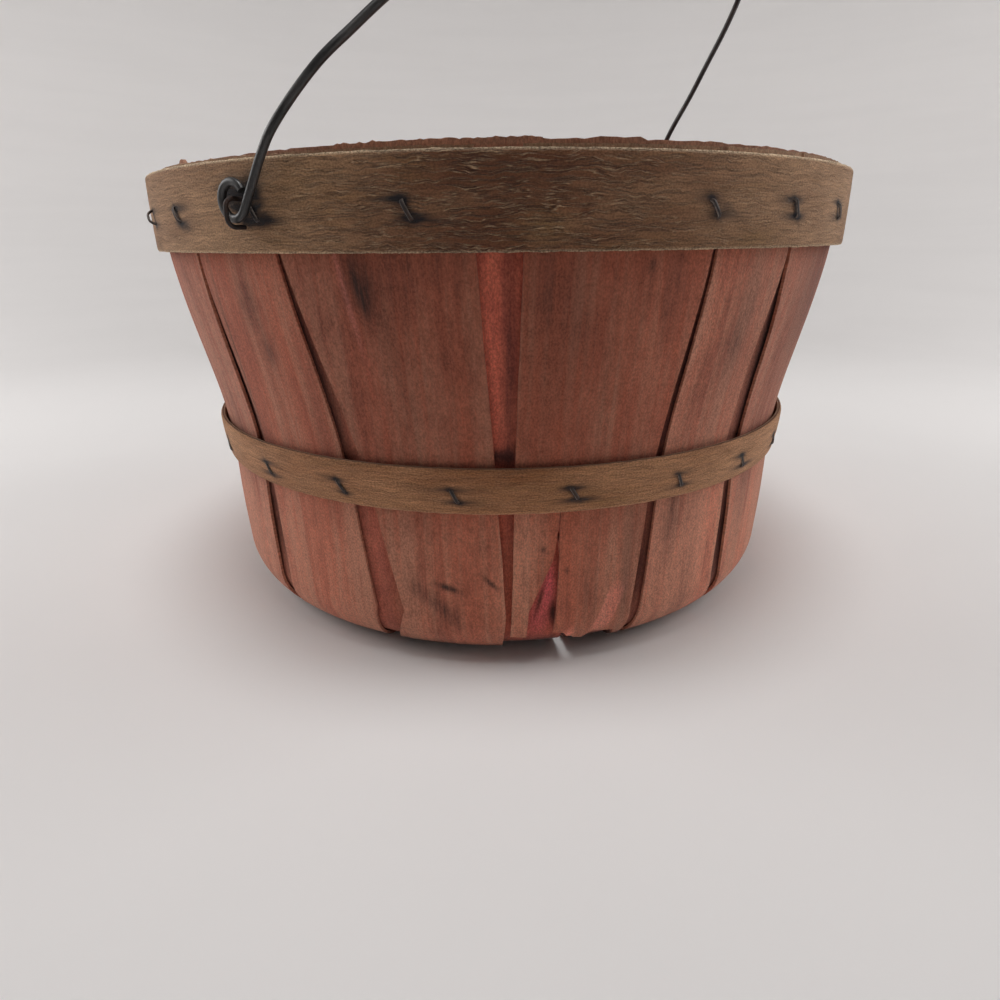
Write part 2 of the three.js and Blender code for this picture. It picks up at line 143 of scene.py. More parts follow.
# The values at one place, with what the marks add there
def marked(angle, height, marks, values):
    values = dict(values)
    for mark in marks:
        line = mark["angle"] + mark["slant"] * (height - mark["height"])
        sideways = math.degrees(turnFrom(angle, math.radians(line)))
        upwards = (height - mark["height"]) / mark["length"]
        if abs(upwards) > 2.5 or abs(sideways) > 50:
            continue
        if mark["toRight"] is not None:
            reach = smooth(sideways / mark["width"]) * smooth((mark["toRight"] - sideways) / mark["width"])
            reach *= smooth(1.6 - abs(upwards))
        else:
            reach = math.exp(-(sideways / mark["width"]) ** 2 - upwards * upwards)
        for name, amount in mark["adds"].items():
            values[name] += reach * amount
    return values


# Shader sockets that can be added, multiplied and so on
class Field:
    def __init__(self, tree, socket=None):
        self.tree = tree
        self.socket = socket

    def node(self, kind, settings=None, sockets=None, output=0):
        made = self.tree.nodes.new(kind)
        for name, value in (settings or {}).items():
            setattr(made, name, value)
        for key, value in (sockets or {}).items():
            if isinstance(value, Field):
                self.tree.links.new(value.socket, made.inputs[key])
            else:
                made.inputs[key].default_value = value
        return Field(self.tree, made.outputs[output])

    def maths(self, operation, *values):
        return self.node("ShaderNodeMath", {"operation": operation}, dict(enumerate(values)))

    def __add__(self, other):
        return self.maths("ADD", self, other)

    def __radd__(self, other):
        return self.maths("ADD", other, self)

    def __sub__(self, other):
        return self.maths("SUBTRACT", self, other)

    def __rsub__(self, other):
        return self.maths("SUBTRACT", other, self)

    def __mul__(self, other):
        return self.maths("MULTIPLY", self, other)

    def __rmul__(self, other):
        return self.maths("MULTIPLY", other, self)

    def between(self, low, high, first=0.0, last=1.0):
        settings = {"interpolation_type": "SMOOTHSTEP"}
        limits = {"Value": self, "From Min": low, "From Max": high, "To Min": first, "To Max": last}
        return self.node("ShaderNodeMapRange", settings, limits)

    def attribute(self, label):
        return self.node("ShaderNodeAttribute", {"attribute_name": label}, output=1)

    def parts(self):
        split = self.node("ShaderNodeSeparateXYZ", {}, {0: self})
        return [Field(self.tree, output) for output in split.socket.node.outputs]

    # noise stretched along the wood: how often it changes in a metre along the first axis and the second
    def figure(self, first, second, detail=3.0, roughness=0.55, distortion=0.0):
        scale = (first, second, 31.0)
        stretched = self.node("ShaderNodeVectorMath", {"operation": "MULTIPLY"}, {0: self, 1: scale})
        values = {"Vector": stretched, "Scale": 1.0, "Detail": detail, "Roughness": roughness,
                  "Distortion": distortion}
        return self.node("ShaderNodeTexNoise", {}, values)

    # the same place moved along the second axis
    def shifted(self, distance):
        offset = self.node("ShaderNodeCombineXYZ", {}, {1: distance})
        return self.node("ShaderNodeVectorMath", {"operation": "ADD"}, {0: self, 1: offset})

    # 1 where the value is near a level, falling to 0
    def near(self, level, reach):
        return self.maths("ABSOLUTE", self - level).between(0.0, reach, 1.0, 0.0)

    def tinted(self, first, last):
        colours = {0: self, 6: opaque(first), 7: opaque(last)}
        return self.node("ShaderNodeMix", {"data_type": "RGBA"}, colours, 2)

    def dimmed(self, amount):
        return self.node("ShaderNodeVectorMath", {"operation": "SCALE"}, {0: self, "Scale": amount})


def opaque(colour):
    return colour if isinstance(colour, Field) else (*colour, 1.0)


def newMaterial(name):
    material = bpy.data.materials.new(name)
    material.use_nodes = True
    material.node_tree.nodes.clear()
    return material, Field(material.node_tree)


def finishMaterial(material, surface, constants=None, height=None, depth=0.0, strength=1.0):
    tree = material.node_tree
    shader = tree.nodes.new("ShaderNodeBsdfPrincipled")
    for name, value in (constants or {}).items():
        shader.inputs[name].default_value = value
    for name, field in surface.items():
        tree.links.new(field.socket, shader.inputs[name])
    if height is not None:
        relief = {"Strength": strength, "Distance": depth, "Height": height}
        bump = Field(tree).node("ShaderNodeBump", {}, relief)
        tree.links.new(bump.socket, shader.inputs["Normal"])
    output = tree.nodes.new("ShaderNodeOutputMaterial")
    tree.links.new(shader.outputs[0], output.inputs[0])
    return material


# Weathered veneer with what is left of its red stain. The paint attribute holds grime, fresh stain and
# bare wear, and the wear attribute weathered ends, pink and lightness. Grime also carries painted shade under
# the foot and in the gaps, fresh stain partly painted shadow under the rim, and bare wear and lightness
# partly painted light low on the wall and painted shade on the upper front.
def veneerMaterial(name, look):
    material, field = newMaterial(name)
    grain = field.attribute("grain")
    grime, fresh, bare = field.attribute("paint").parts()
    weather, pink, shade = field.attribute("wear").parts()
    nap = grain.figure(1400, 900, 2.0, 0.6)
    speck = nap.between(0.25, 0.75)
    mottle = grain.figure(420, 190, 3.0, 0.6).between(0.3, 0.7)
    pores = grain.figure(2400, 110, 2.0)
    fibre = grain.figure(850, 22, 4.0, 0.65, 0.25)
    strand = grain.figure(240, 6, 4.0, 0.6, 0.3)
    streak = grain.figure(90, 2.2, 2.0, 0.5, 0.2).between(0.5, 0.56)
    band = grain.figure(60, 3.5, 3.0)
    cloud = grain.figure(45, 20, 5.0, 0.62)
    stained = (band * 0.4 + cloud * 0.4 + strand * 0.3).between(0.42, 0.7) + fresh - bare
    colour = stained.tinted(look["worn"], look["stain"])
    flush = (strand * 0.5 + band * 0.35 + nap * 0.3).between(0.5, 0.74) * look["flushShare"]
    colour = flush.tinted(colour, look["flush"])
    colour = (pink * nap.between(0.2, 0.6, 0.7, 1.0)).tinted(colour, look["pink"])
    dirt = (cloud * 0.55 + strand * 0.3 + fibre * 0.3).between(0.55, 0.78) * look["dirtShare"]
    dirtAndShade = grime * (fibre * 0.6 + cloud * 0.6).between(0.38, 0.72, 0.25, 1.0) + dirt
    colour = dirtAndShade.tinted(colour, look["dirt"])
    colour = (weather * fibre.between(0.25, 0.5, 0.75, 1.0)).tinted(colour, look["weathered"])
    lightness = 0.35 + speck * 0.52 + mottle * 0.18 + fibre * 0.28 + pores * 0.16 + streak * 0.06
    colour = colour.dimmed(lightness * shade)
    roughness = 1.0 - fibre * 0.2
    relief = nap * 0.6 + fibre * 0.45 + pores * 0.2 + strand * 0.15
    surface = {"Base Color": colour, "Roughness": roughness}
    constants = {"Specular IOR Level": 0.22, "Sheen Weight": 0.1, "Sheen Roughness": 0.6}
    return finishMaterial(material, surface, constants, relief, 0.0006, 0.75)


outerVeneer = veneerMaterial("weathered_red_veneer", {
    "worn": (0.47, 0.205, 0.13),
    "stain": (0.42, 0.125, 0.072),
    "flush": (0.48, 0.12, 0.065),
    "flushShare": 0.55,
    "pink": (0.6, 0.2, 0.15),
    "dirt": (0.085, 0.04, 0.03),
    "dirtShare": 0.5,
    "weathered": (0.45, 0.28, 0.175),
})
innerVeneer = veneerMaterial("bright_red_veneer", {
    "worn": (0.48, 0.17, 0.1),
    "stain": (0.47, 0.1, 0.06),
    "flush": (0.52, 0.14, 0.065),
    "flushShare": 0.5,
    "pink": (0.6, 0.115, 0.12),
    "dirt": (0.16, 0.045, 0.035),
    "dirtShare": 0.5,
    "weathered": (0.48, 0.26, 0.165),
})


# Bare hoop wood. The paint attribute holds iron stain round the staples, with painted shadow of the bail
# beside the front ear, pale edges, which on the lower edges are a painted highlight, and dark ends, and the
# zone attribute brown, olive and how strongly the grain stands up.
def hoopMaterial(name, look):
    material, field = newMaterial(name)
    grain = field.attribute("grain")
    ironAndShade, fuzz, dark = field.attribute("paint").parts()
    brown, olive, raised = field.attribute("zone").parts()
    wobble = grain.figure(190, 170, 1.0) * 0.0022 + grain.figure(55, 80, 1.0) * 0.0034
    waved = grain.shifted(wobble)
    lines = waved.figure(30, 520, 2.0, 0.5)
    broken = grain.figure(90, 420, 2.0).between(0.34, 0.54) * raised
    ridge = (lines.near(0.46, 0.022) + lines.near(0.55, 0.02)) * broken
    under = (lines.near(0.5, 0.026) + lines.near(0.59, 0.024)) * broken
    fibre = waved.figure(70, 1500, 3.0, 0.6)
    strand = waved.figure(24, 330, 4.0, 0.6)
    cloud = grain.figure(22, 60, 4.0, 0.6)
    patch = grain.figure(8, 26, 3.0)
    nap = grain.figure(1100, 1500, 2.0, 0.6)
    deep = (patch * 0.5 + cloud * 0.5).between(0.4, 0.62) * 0.45 + brown
    colour = deep.tinted(look["pale"], look["brown"])
    tinge = (cloud * 0.6 + strand * 0.4).between(0.48, 0.7) * look["tingeShare"] + olive
    colour = tinge.tinted(colour, look["tinge"])
    colour = (under * 0.75).tinted(colour, look["under"])
    colour = (ridge * look["ridgeShare"]).tinted(colour, look["ridge"])
    colour = (fuzz * nap.between(0.3, 0.6, 0.35, 1.0)).tinted(colour, look["fuzz"])
    colour = dark.tinted(colour, look["under"])
    stained = ironAndShade * (strand * 0.7 + nap * 0.4).between(0.3, 0.6, 0.45, 1.0)
    colour = stained.tinted(colour, look["ironAndShade"])
    lightness = 0.2 + fibre.between(0.25, 0.75) * 0.5 + strand * 0.4 + nap.between(0.25, 0.75) * 0.7
    colour = colour.dimmed(lightness)
    roughness = 0.98 - fibre * 0.18
    relief = ridge * 0.9 - under * 0.4 + fibre * 0.4 + strand * 0.4 + nap * 0.25
    surface = {"Base Color": colour, "Roughness": roughness}
    constants = {"Specular IOR Level": 0.22, "Sheen Weight": 0.08, "Sheen Roughness": 0.6}
    return finishMaterial(material, surface, constants, relief, 0.0006, 0.8)


rimWood = hoopMaterial("weathered_rim_wood", {
    "pale": (0.43, 0.25, 0.137),
    "brown": (0.175, 0.07, 0.035),
    "tinge": (0.3, 0.17, 0.074),
    "tingeShare": 0.45,
    "ridge": (0.52, 0.35, 0.21),
    "ridgeShare": 0.8,
    "under": (0.05, 0.024, 0.015),
    "fuzz": (0.78, 0.62, 0.42),
    "ironAndShade": (0.02, 0.017, 0.02),
})
bellyWood = hoopMaterial("tan_hoop_wood", {
    "pale": (0.52, 0.27, 0.138),
    "brown": (0.3, 0.11, 0.042),
    "tinge": (0.34, 0.19, 0.08),
    "tingeShare": 0.5,
    "ridge": (0.5, 0.35, 0.22),
    "ridgeShare": 0.4,
    "under": (0.1, 0.045, 0.025),
    "fuzz": (0.58, 0.42, 0.29),
    "ironAndShade": (0.02, 0.018, 0.021),
})


# Old steel wire: dark oxide, some rust and paler worn places. The wear attribute marks the edges of flat
# wire, where the bright colour is part rubbed steel, part painted highlight.
def wireMaterial(name, look):
    material, field = newMaterial(name)
    grain = field.attribute("grain")
    edge = field.attribute("wear").parts()[0]
    cloud = grain.figure(180, 60, 4.0, 0.6)
    speck = grain.figure(1500, 700, 3.0, 0.6)
    scratch = grain.figure(2200, 40, 2.0)
    colour = cloud.between(0.35, 0.7).tinted(look["oxide"], look["worn"])
    rusted = (cloud * 0.55 + speck * 0.55).between(look["rustFrom"], look["rustFrom"] + 0.14)
    colour = rusted.tinted(colour, look["rust"])
    # painted highlight, with some rubbed steel, along the flat wire's edges
    colour = (edge * speck.between(0.3, 0.6, 0.3, 1.0)).tinted(colour, look["bright"])
    colour = colour.dimmed(0.7 + speck * 0.4 + scratch * 0.2)
    metallic = look["metal"] - rusted * look["metal"]
    roughness = look["rough"] + rusted * 0.3 + speck * 0.1
    surface = {"Base Color": colour, "Metallic": metallic, "Roughness": roughness}
    relief = speck * 0.6 + cloud * 0.4
    return finishMaterial(material, surface, {"Specular IOR Level": 0.4}, relief, 0.0002, 0.5)


bailSteel = wireMaterial("oxidised_bail_steel", {
    "oxide": (0.045, 0.044, 0.044),
    "worn": (0.1, 0.098, 0.097),
    "rust": (0.06, 0.042, 0.034),
    "rustFrom": 0.62,
    "bright": (0.2, 0.2, 0.2),
    "metal": 0.55,
    "rough": 0.34,
})
stapleSteel = wireMaterial("rusted_staple_steel", {
    "oxide": (0.026, 0.022, 0.023),
    "worn": (0.07, 0.06, 0.056),
    "rust": (0.055, 0.028, 0.02),
    "rustFrom": 0.52,
    "bright": (0.3, 0.25, 0.22),
    "metal": 0.4,
    "rough": 0.45,
})
print("materials made")


# Meshes
def makePiece(name, points, faces, attributes, material, node, body="basket", crease=40):
    mesh = bpy.data.meshes.new(name)
    mesh.from_pydata(points, [], faces)
    for label, values in attributes.items():
        layer = mesh.attributes.new(label, "FLOAT_VECTOR", "POINT")
        layer.data.foreach_set("vector", [number for value in values for number in value])
    mesh.shade_smooth()
    mesh.set_sharp_from_angle(angle=math.radians(crease))
    mesh.materials.append(material)
    piece = bpy.data.objects.new(name, mesh)
    scene.collection.objects.link(piece)
    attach(piece, body)
    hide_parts(node)


# A sheet of quads given thickness: offsets run from its outer face to its inner face
def thicken(points, offsets, quads):
    count = len(points)
    solid = points + [point + offset for point, offset in zip(points, offsets)]
    faces = list(quads) + [tuple(index + count for index in reversed(quad)) for quad in quads]
    edges = {edge for quad in quads for edge in zip(quad, quad[1:] + quad[:1])}
    for first, second in sorted(edges):
        if (second, first) not in edges:
            faces.append((second, first, first + count, second + count))
    return solid, faces


# Wire of an oval section swept along points; across is the direction of its width
def sweepWire(points, halfWidth, halfDepth, sides, across):
    ring, grain, wear, faces = [], [], [], []
    travelled = 0.0
    side = across.normalized()
    for place, point in enumerate(points):
        ahead = (points[min(place + 1, len(points) - 1)] - points[max(place - 1, 0)]).normalized()
        side = (side - ahead * side.dot(ahead)).normalized()
        out = ahead.cross(side)
        travelled += (point - points[max(place - 1, 0)]).length
        for step in range(sides):
            angle = 2 * math.pi * step / sides
            ring.append(point + side * halfWidth * math.cos(angle) + out * halfDepth * math.sin(angle))
            grain.append((math.sin(angle) * halfDepth, travelled, math.cos(angle) * 0.03))
            # how much the edges of flat wire take the bright colour: part rubbed steel, part painted
            # highlight
            wear.append((abs(math.cos(angle)) ** 4 if halfWidth > halfDepth else 0.0, 0.0, 0.0))
    for place in range(len(points) - 1):
        for step in range(sides):
            here = place * sides + step
            beside = place * sides + (step + 1) % sides
            faces.append((here, beside, beside + sides, here + sides))
    faces.append(tuple(reversed(range(sides))))
    faces.append(tuple(range(len(ring) - sides, len(ring))))
    return ring, faces, {"grain": grain, "wear": wear}


# A path with its corners rounded
def roundCorners(corners, radius, steps=5):
    path = [corners[0]]
    for before, corner, after in zip(corners, corners[1:], corners[2:]):
        start = corner + (before - corner).normalized() * radius
        end = corner + (after - corner).normalized() * radius
        for step in range(steps + 1):
            share = step / steps
            path.append(start.lerp(corner, share).lerp(corner.lerp(end, share), share))
    path.append(corners[-1])
    return path


# Splints. Their edges, tops and plies are read from the solids.
splint = {
    "columns": 24,
    "fineColumns": 60,       # of the splints that face the camera
    "slopeRows": 8,
    "footRows": 3,
    "cornerRows": 16,
    "wallRows": 40,
    "fineWallRows": 124,
    "rimShares": (0.0, 0.3, 0.6, 0.82, 0.9, 0.94, 0.97, 0.985, 1.0),
    "middleRows": 14,
    "edgeWander": 0.0003,
    "edgeTrim": 0.0006,      # gaps between splints, wider than in the solids
    "topFray": 0.0003,
    "weatheredBelow": 0.003,  # weathered ends start this far under the rim's top
    "weatheredTop": 0.005,
    "spreadRise": 0.01,      # heights over which edges spread, gaps open and close, and colours change
    "gapOpens": 0.02,
    "gapCloses": 0.045,
    # the lower wall turns lighter: part wear, part painted light from the floor's bounce
    "footLightFade": 0.05,
    # painted shade under the foot: below this height the splints darken
    "footShadeBelow": 0.011,
    "footShadeFade": 0.009,
    # under the rim the stain turns redder and darker: part stain kept from weathering, part painted shadow of
    # the rim
    "rimShadeFrom": 0.168,
    "rimShadeFade": 0.02,
    # limits of each splint end's own tone
    "tones": {"grime": (0.0, 0.25), "fresh": (0.0, 0.25), "bare": (0.0, 0.3), "pink": (0.0, 0.1),
              "shade": (0.84, 1.04)},
    "curl": 0.0007,          # edges lift off the wall between the hoops
    "bow": 0.0006,
    "seed": 5,
}


def cadEdges(node, height, middle):
    turns = []
    for vertex in frame["nodes"][node].data.vertices:
        turn = turnFrom(angleOf(vertex.co), middle)
        if abs(vertex.co.z - height) < 1e-4 and abs(turn) < math.pi / 2:
            turns.append(turn)
    return middle + min(turns), middle + max(turns)


def cadTop(node, middle):
    vertices = frame["nodes"][node].data.vertices
    return max(vertex.co.z for vertex in vertices if abs(turnFrom(angleOf(vertex.co), middle)) < math.pi / 2)


def cadLevel(node):
    near = basket["splitRadius"] + basket["footWidth"] / 4
    vertices = frame["nodes"][node].data.vertices
    return min(vertex.co.z for vertex in vertices if math.hypot(vertex.co.x, vertex.co.y) < near)


footOuter = basket["footRadius"] - basket["cornerRadius"]


# A point of the round corner: radius, height and the direction of the thickness
def cornerPoint(turn, inset):
    into = (-math.sin(turn), math.cos(turn))
    radius = footOuter + basket["cornerRadius"] * math.sin(turn) + inset * into[0]
    return radius, basket["cornerRadius"] * (1 - math.cos(turn)) + inset * into[1], into


# Stations from the middle of the bottom to the top: radius, height, the direction of the thickness, the
# shares of the way from foot to base and from base to rim, and the turn within the corner
def splintStations(level, inset, top, wallRows):
    footInner = footOuter - basket["footWidth"]
    stations = []
    for row in range(splint["slopeRows"]):
        share = row / splint["slopeRows"]
        radius = lerp(basket["splitRadius"], footInner, share)
        stations.append((radius, lerp(level, inset, smooth(share)), (0.0, 1.0), 0.0, 0.0, None))
    for row in range(splint["footRows"]):
        radius = lerp(footInner, footOuter, row / splint["footRows"])
        stations.append((radius, inset, (0.0, 1.0), 0.0, 0.0, None))
    for row in range(splint["cornerRows"]):
        share = row / splint["cornerRows"]
        stations.append((*cornerPoint(share * math.pi / 2, inset), share, 0.0, share * math.pi / 2))
    for row in range(wallRows):
        share = row / wallRows
        height = lerp(basket["cornerRadius"], rimBottom, share)
        stations.append((wallRadius(height) - inset, height, (-1.0, 0.0), 1.0, share, None))
    for share in splint["rimShares"]:
        height = lerp(rimBottom, top, share)
        stations.append((basket["wallTopRadius"] - inset, height, (-1.0, 0.0), 1.0, 1.0, None))
    return stations


# How far a splint's face stands off the wall between the hoops
def faceLift(height, across, warp):
    lower = arch((height - basket["cornerRadius"]) / (bellyBottom - basket["cornerRadius"]))
    upper = arch((height - bellyTop) / (rimBottom - bellyTop))
    return (lower + upper) * (warp["curl"] * abs(across) ** 5 + warp["bow"] * (1 - across * across))


# Marks that the photograph shows on the splints
outerMarks = [
    woodMark(-19.05, 0.1748, 0.4, 0.022, slant=-43, pink=0.9, shade=0.25),
    woodMark(-16.6, 0.177, 2.3, 0.015, slant=-40, grime=0.5, shade=-0.36, fresh=0.6),
    woodMark(-17.3, 0.177, 0.4, 0.01, slant=-70, grime=0.5),
    woodMark(-16.2, 0.174, 0.4, 0.01, slant=20, grime=0.6),
    woodMark(-43.4, 0.14, 0.16, 0.05, slant=10, grime=0.7, shade=-0.3),
    woodMark(-33.75, 0.155, 9.0, 0.035, shade=0.1),
    # painted shade on the upper right splint, with redder stain
    woodMark(57.0, 0.17, 9.0, 0.05, shade=-0.52, fresh=0.4),
    # painted shade over the upper front middle, with redder stain
    woodMark(-1.0, 0.15, 18.0, 0.045, shade=-0.1, fresh=0.22),
    woodMark(-12.0, 0.18, 2.4, 0.014, grime=0.45, fresh=0.3),
    woodMark(-9.0, 0.125, 3.0, 0.025, grime=0.1, bare=0.3),
    woodMark(13.0, 0.122, 5.0, 0.02, bare=0.3),
    woodMark(-13.2, 0.14, 1.0, 0.03, slant=-30, shade=-0.16),
    woodMark(-11.5, 0.035, 2.4, 0.012, slant=-330, grime=0.6),
    woodMark(-8.7, 0.043, 1.2, 0.0022, slant=-560, grime=1.3, shade=-0.35),
    woodMark(-1.9, 0.0463, 0.5, 0.003, slant=-300, grime=1.2, shade=-0.3),
    woodMark(3.5, 0.056, 3.6, 0.028, shade=0.2, bare=0.35),
    woodMark(36.0, 0.05, 6.0, 0.03, shade=0.12, bare=0.2),
    woodMark(18.0, 0.16, 0.5, 0.05, slant=48, toRight=12.0, shade=0.14, fresh=0.2),
    woodMark(18.3, 0.184, 0.5, 0.003, grime=0.8),
    woodMark(8.0, 0.17, 6.0, 0.035, grime=0.32),
    woodMark(6.5, 0.12, 4.0, 0.02, fresh=0.2),
    woodMark(10.2, 0.0516, 0.4, 0.0016, grime=0.9),
    woodMark(6.4, 0.063, 0.4, 0.0016, grime=0.9),
    woodMark(14.5, 0.04, 1.6, 0.016, grime=0.5),
    woodMark(16.2, 0.027, 0.4, 0.012, slant=130, toRight=3.6, pink=0.5, shade=0.25),
    woodMark(20.8, 0.05, 1.2, 0.03, grime=0.5, shade=-0.2),
    woodMark(13.5, 0.05, 3.5, 0.03, fresh=0.35, shade=-0.06),
    woodMark(11.2, 0.0145, 1.0, 0.003, pink=0.8, bare=0.4, shade=0.5),
    woodMark(-36.0, 0.172, 2.5, 0.018, grime=0.4),
    woodMark(-34.3, 0.1476, 1.5, 0.007, grime=0.5),
    woodMark(-28.0, 0.12, 1.6, 0.03, grime=0.25),
    woodMark(35.0, 0.16, 2.0, 0.03, grime=0.4),
    woodMark(28.5, 0.065, 1.8, 0.02, grime=0.5),
    woodMark(34.0, 0.05, 2.0, 0.03, grime=0.35),
    woodMark(49.0, 0.07, 3.0, 0.03, grime=0.4),
]
innerMarks = [
    woodMark(-1.6, 0.15, 2.6, 0.05, pink=0.15, shade=0.42, bare=0.3),
    # painted shadow of the next splint's edge on the right of the wide gap
    woodMark(1.2, 0.15, 0.9, 0.05, grime=0.7, shade=-0.2),
    # painted shade at the bottom of the wide gap, just above the belly hoop
    woodMark(-0.5, 0.1075, 4.0, 0.003, grime=1.0, shade=-0.5),
    woodMark(7.6, 0.043, 1.3, 0.013, pink=1.0, shade=0.45),
    woodMark(5.6, 0.026, 2.2, 0.012, pink=0.7, shade=0.1),
    woodMark(6.2, 0.036, 0.3, 0.009, slant=90, grime=1.0, shade=-0.5),
    woodMark(8.3, 0.029, 0.6, 0.006, grime=1.0, shade=-0.7),
    woodMark(-22.0, 0.05, 3.0, 0.04, pink=0.2, shade=0.35, bare=0.4),
    # painted shade at the foot under the tear
    woodMark(9.0, 0.004, 9.0, 0.007, grime=0.7, shade=-0.5),
    # painted shade behind the narrow gaps
    woodMark(-47.0, 0.146, 1.8, 0.05, slant=-48, grime=0.8, shade=-0.6),
    woodMark(-27.3, 0.146, 1.8, 0.05, slant=-47, grime=0.8, shade=-0.6),
    woodMark(26.9, 0.147, 1.8, 0.05, slant=22, grime=0.8, shade=-0.6),
    woodMark(45.6, 0.146, 2.6, 0.05, slant=-24, grime=1.0, shade=-0.84),
    woodMark(43.5, 0.045, 2.0, 0.035, grime=0.6, shade=-0.4),
    woodMark(23.3, 0.045, 1.6, 0.035, slant=44, grime=0.6, shade=-0.4),
    woodMark(-44.0, 0.045, 1.6, 0.035, slant=-56, grime=0.6, shade=-0.4),
]

# The tear in the front splint. Lips: height, then the angles of both in degrees. Break: angle in degrees and
# height of the edge that the lost corner has left.
tear = {
    "node": "outer_splint_1",
    "lips": [(0.0, 3.8, 8.2), (0.0177, 3.9, 8.3), (0.0311, 4.2, 8.7), (0.044, 6.0, 8.8), (0.0574, 8.0, 9.0),
             (0.067, 8.5, 8.95), (0.0797, 8.85, 9.0), (0.086, 8.95, 8.95)],
    "break": [(0.0, 0.0152), (1.6, 0.0156), (4.4, 0.0164), (8.4, 0.0186), (9.4, 0.0176), (10.3, 0.0166),
              (11.0, 0.0135), (12.1, 0.0127), (12.4, 0.0112), (14.2, 0.0097), (14.8, 0.0125), (15.8, 0.0148),
              (17.5, 0.0138), (20.0, 0.012), (21.5, 0.0)],
    "leftColumns": 20,
    "lipLift": 0.0011,
    "closed": 0.04,          # over the tear's top the mesh lines come together again in this height
}


def breakTurn(angle):
    degrees = math.degrees(angle)
    if not tear["break"][0][0] <= degrees <= tear["break"][-1][0]:
        return 0.0
    height = readOff(tear["break"], degrees)[0] + 0.0004 * waver(degrees * 2.3, 3.0)
    return math.acos(clamp(1 - height / basket["cornerRadius"], -1.0, 1.0))


# Column angles where the splint is torn: the two lips stand side by side in the list
def tornAngles(edges, height, toBase, columns):
    left = tear["leftColumns"]
    cut = lerp(edges[0], edges[1], left / columns)
    lips = [cut, cut]
    top = tear["lips"][-1]
    if height > top[0]:
        lips = [lerp(math.radians(top[1]), cut, smooth((height - top[0]) / tear["closed"]))] * 2
    elif toBase > 0:
        lips = [math.radians(degrees) for degrees in readOff(tear["lips"], height)]
    angles = [lerp(edges[0], lips[0], column / left) for column in range(left + 1)]
    rest = columns - left
    return angles + [lerp(lips[1], edges[1], column / rest) for column in range(rest + 1)], lips


def lipLift(angle, lips):
    away = min(abs(angle - lip) for lip in lips)
    return tear["lipLift"] * smooth((lips[1] - lips[0]) / 0.05) * math.exp(-(away / 0.03) ** 2)


# Places where a top stands higher: from and to in degrees, and how much
def topBump(angle, bumps):
    degrees = math.degrees(turnFrom(angle, 0.0))
    total = 0.0
    for start, end, rise in bumps:
        total += rise * smooth((degrees - start) / 0.5) * smooth((end - degrees) / 0.5)
    return total


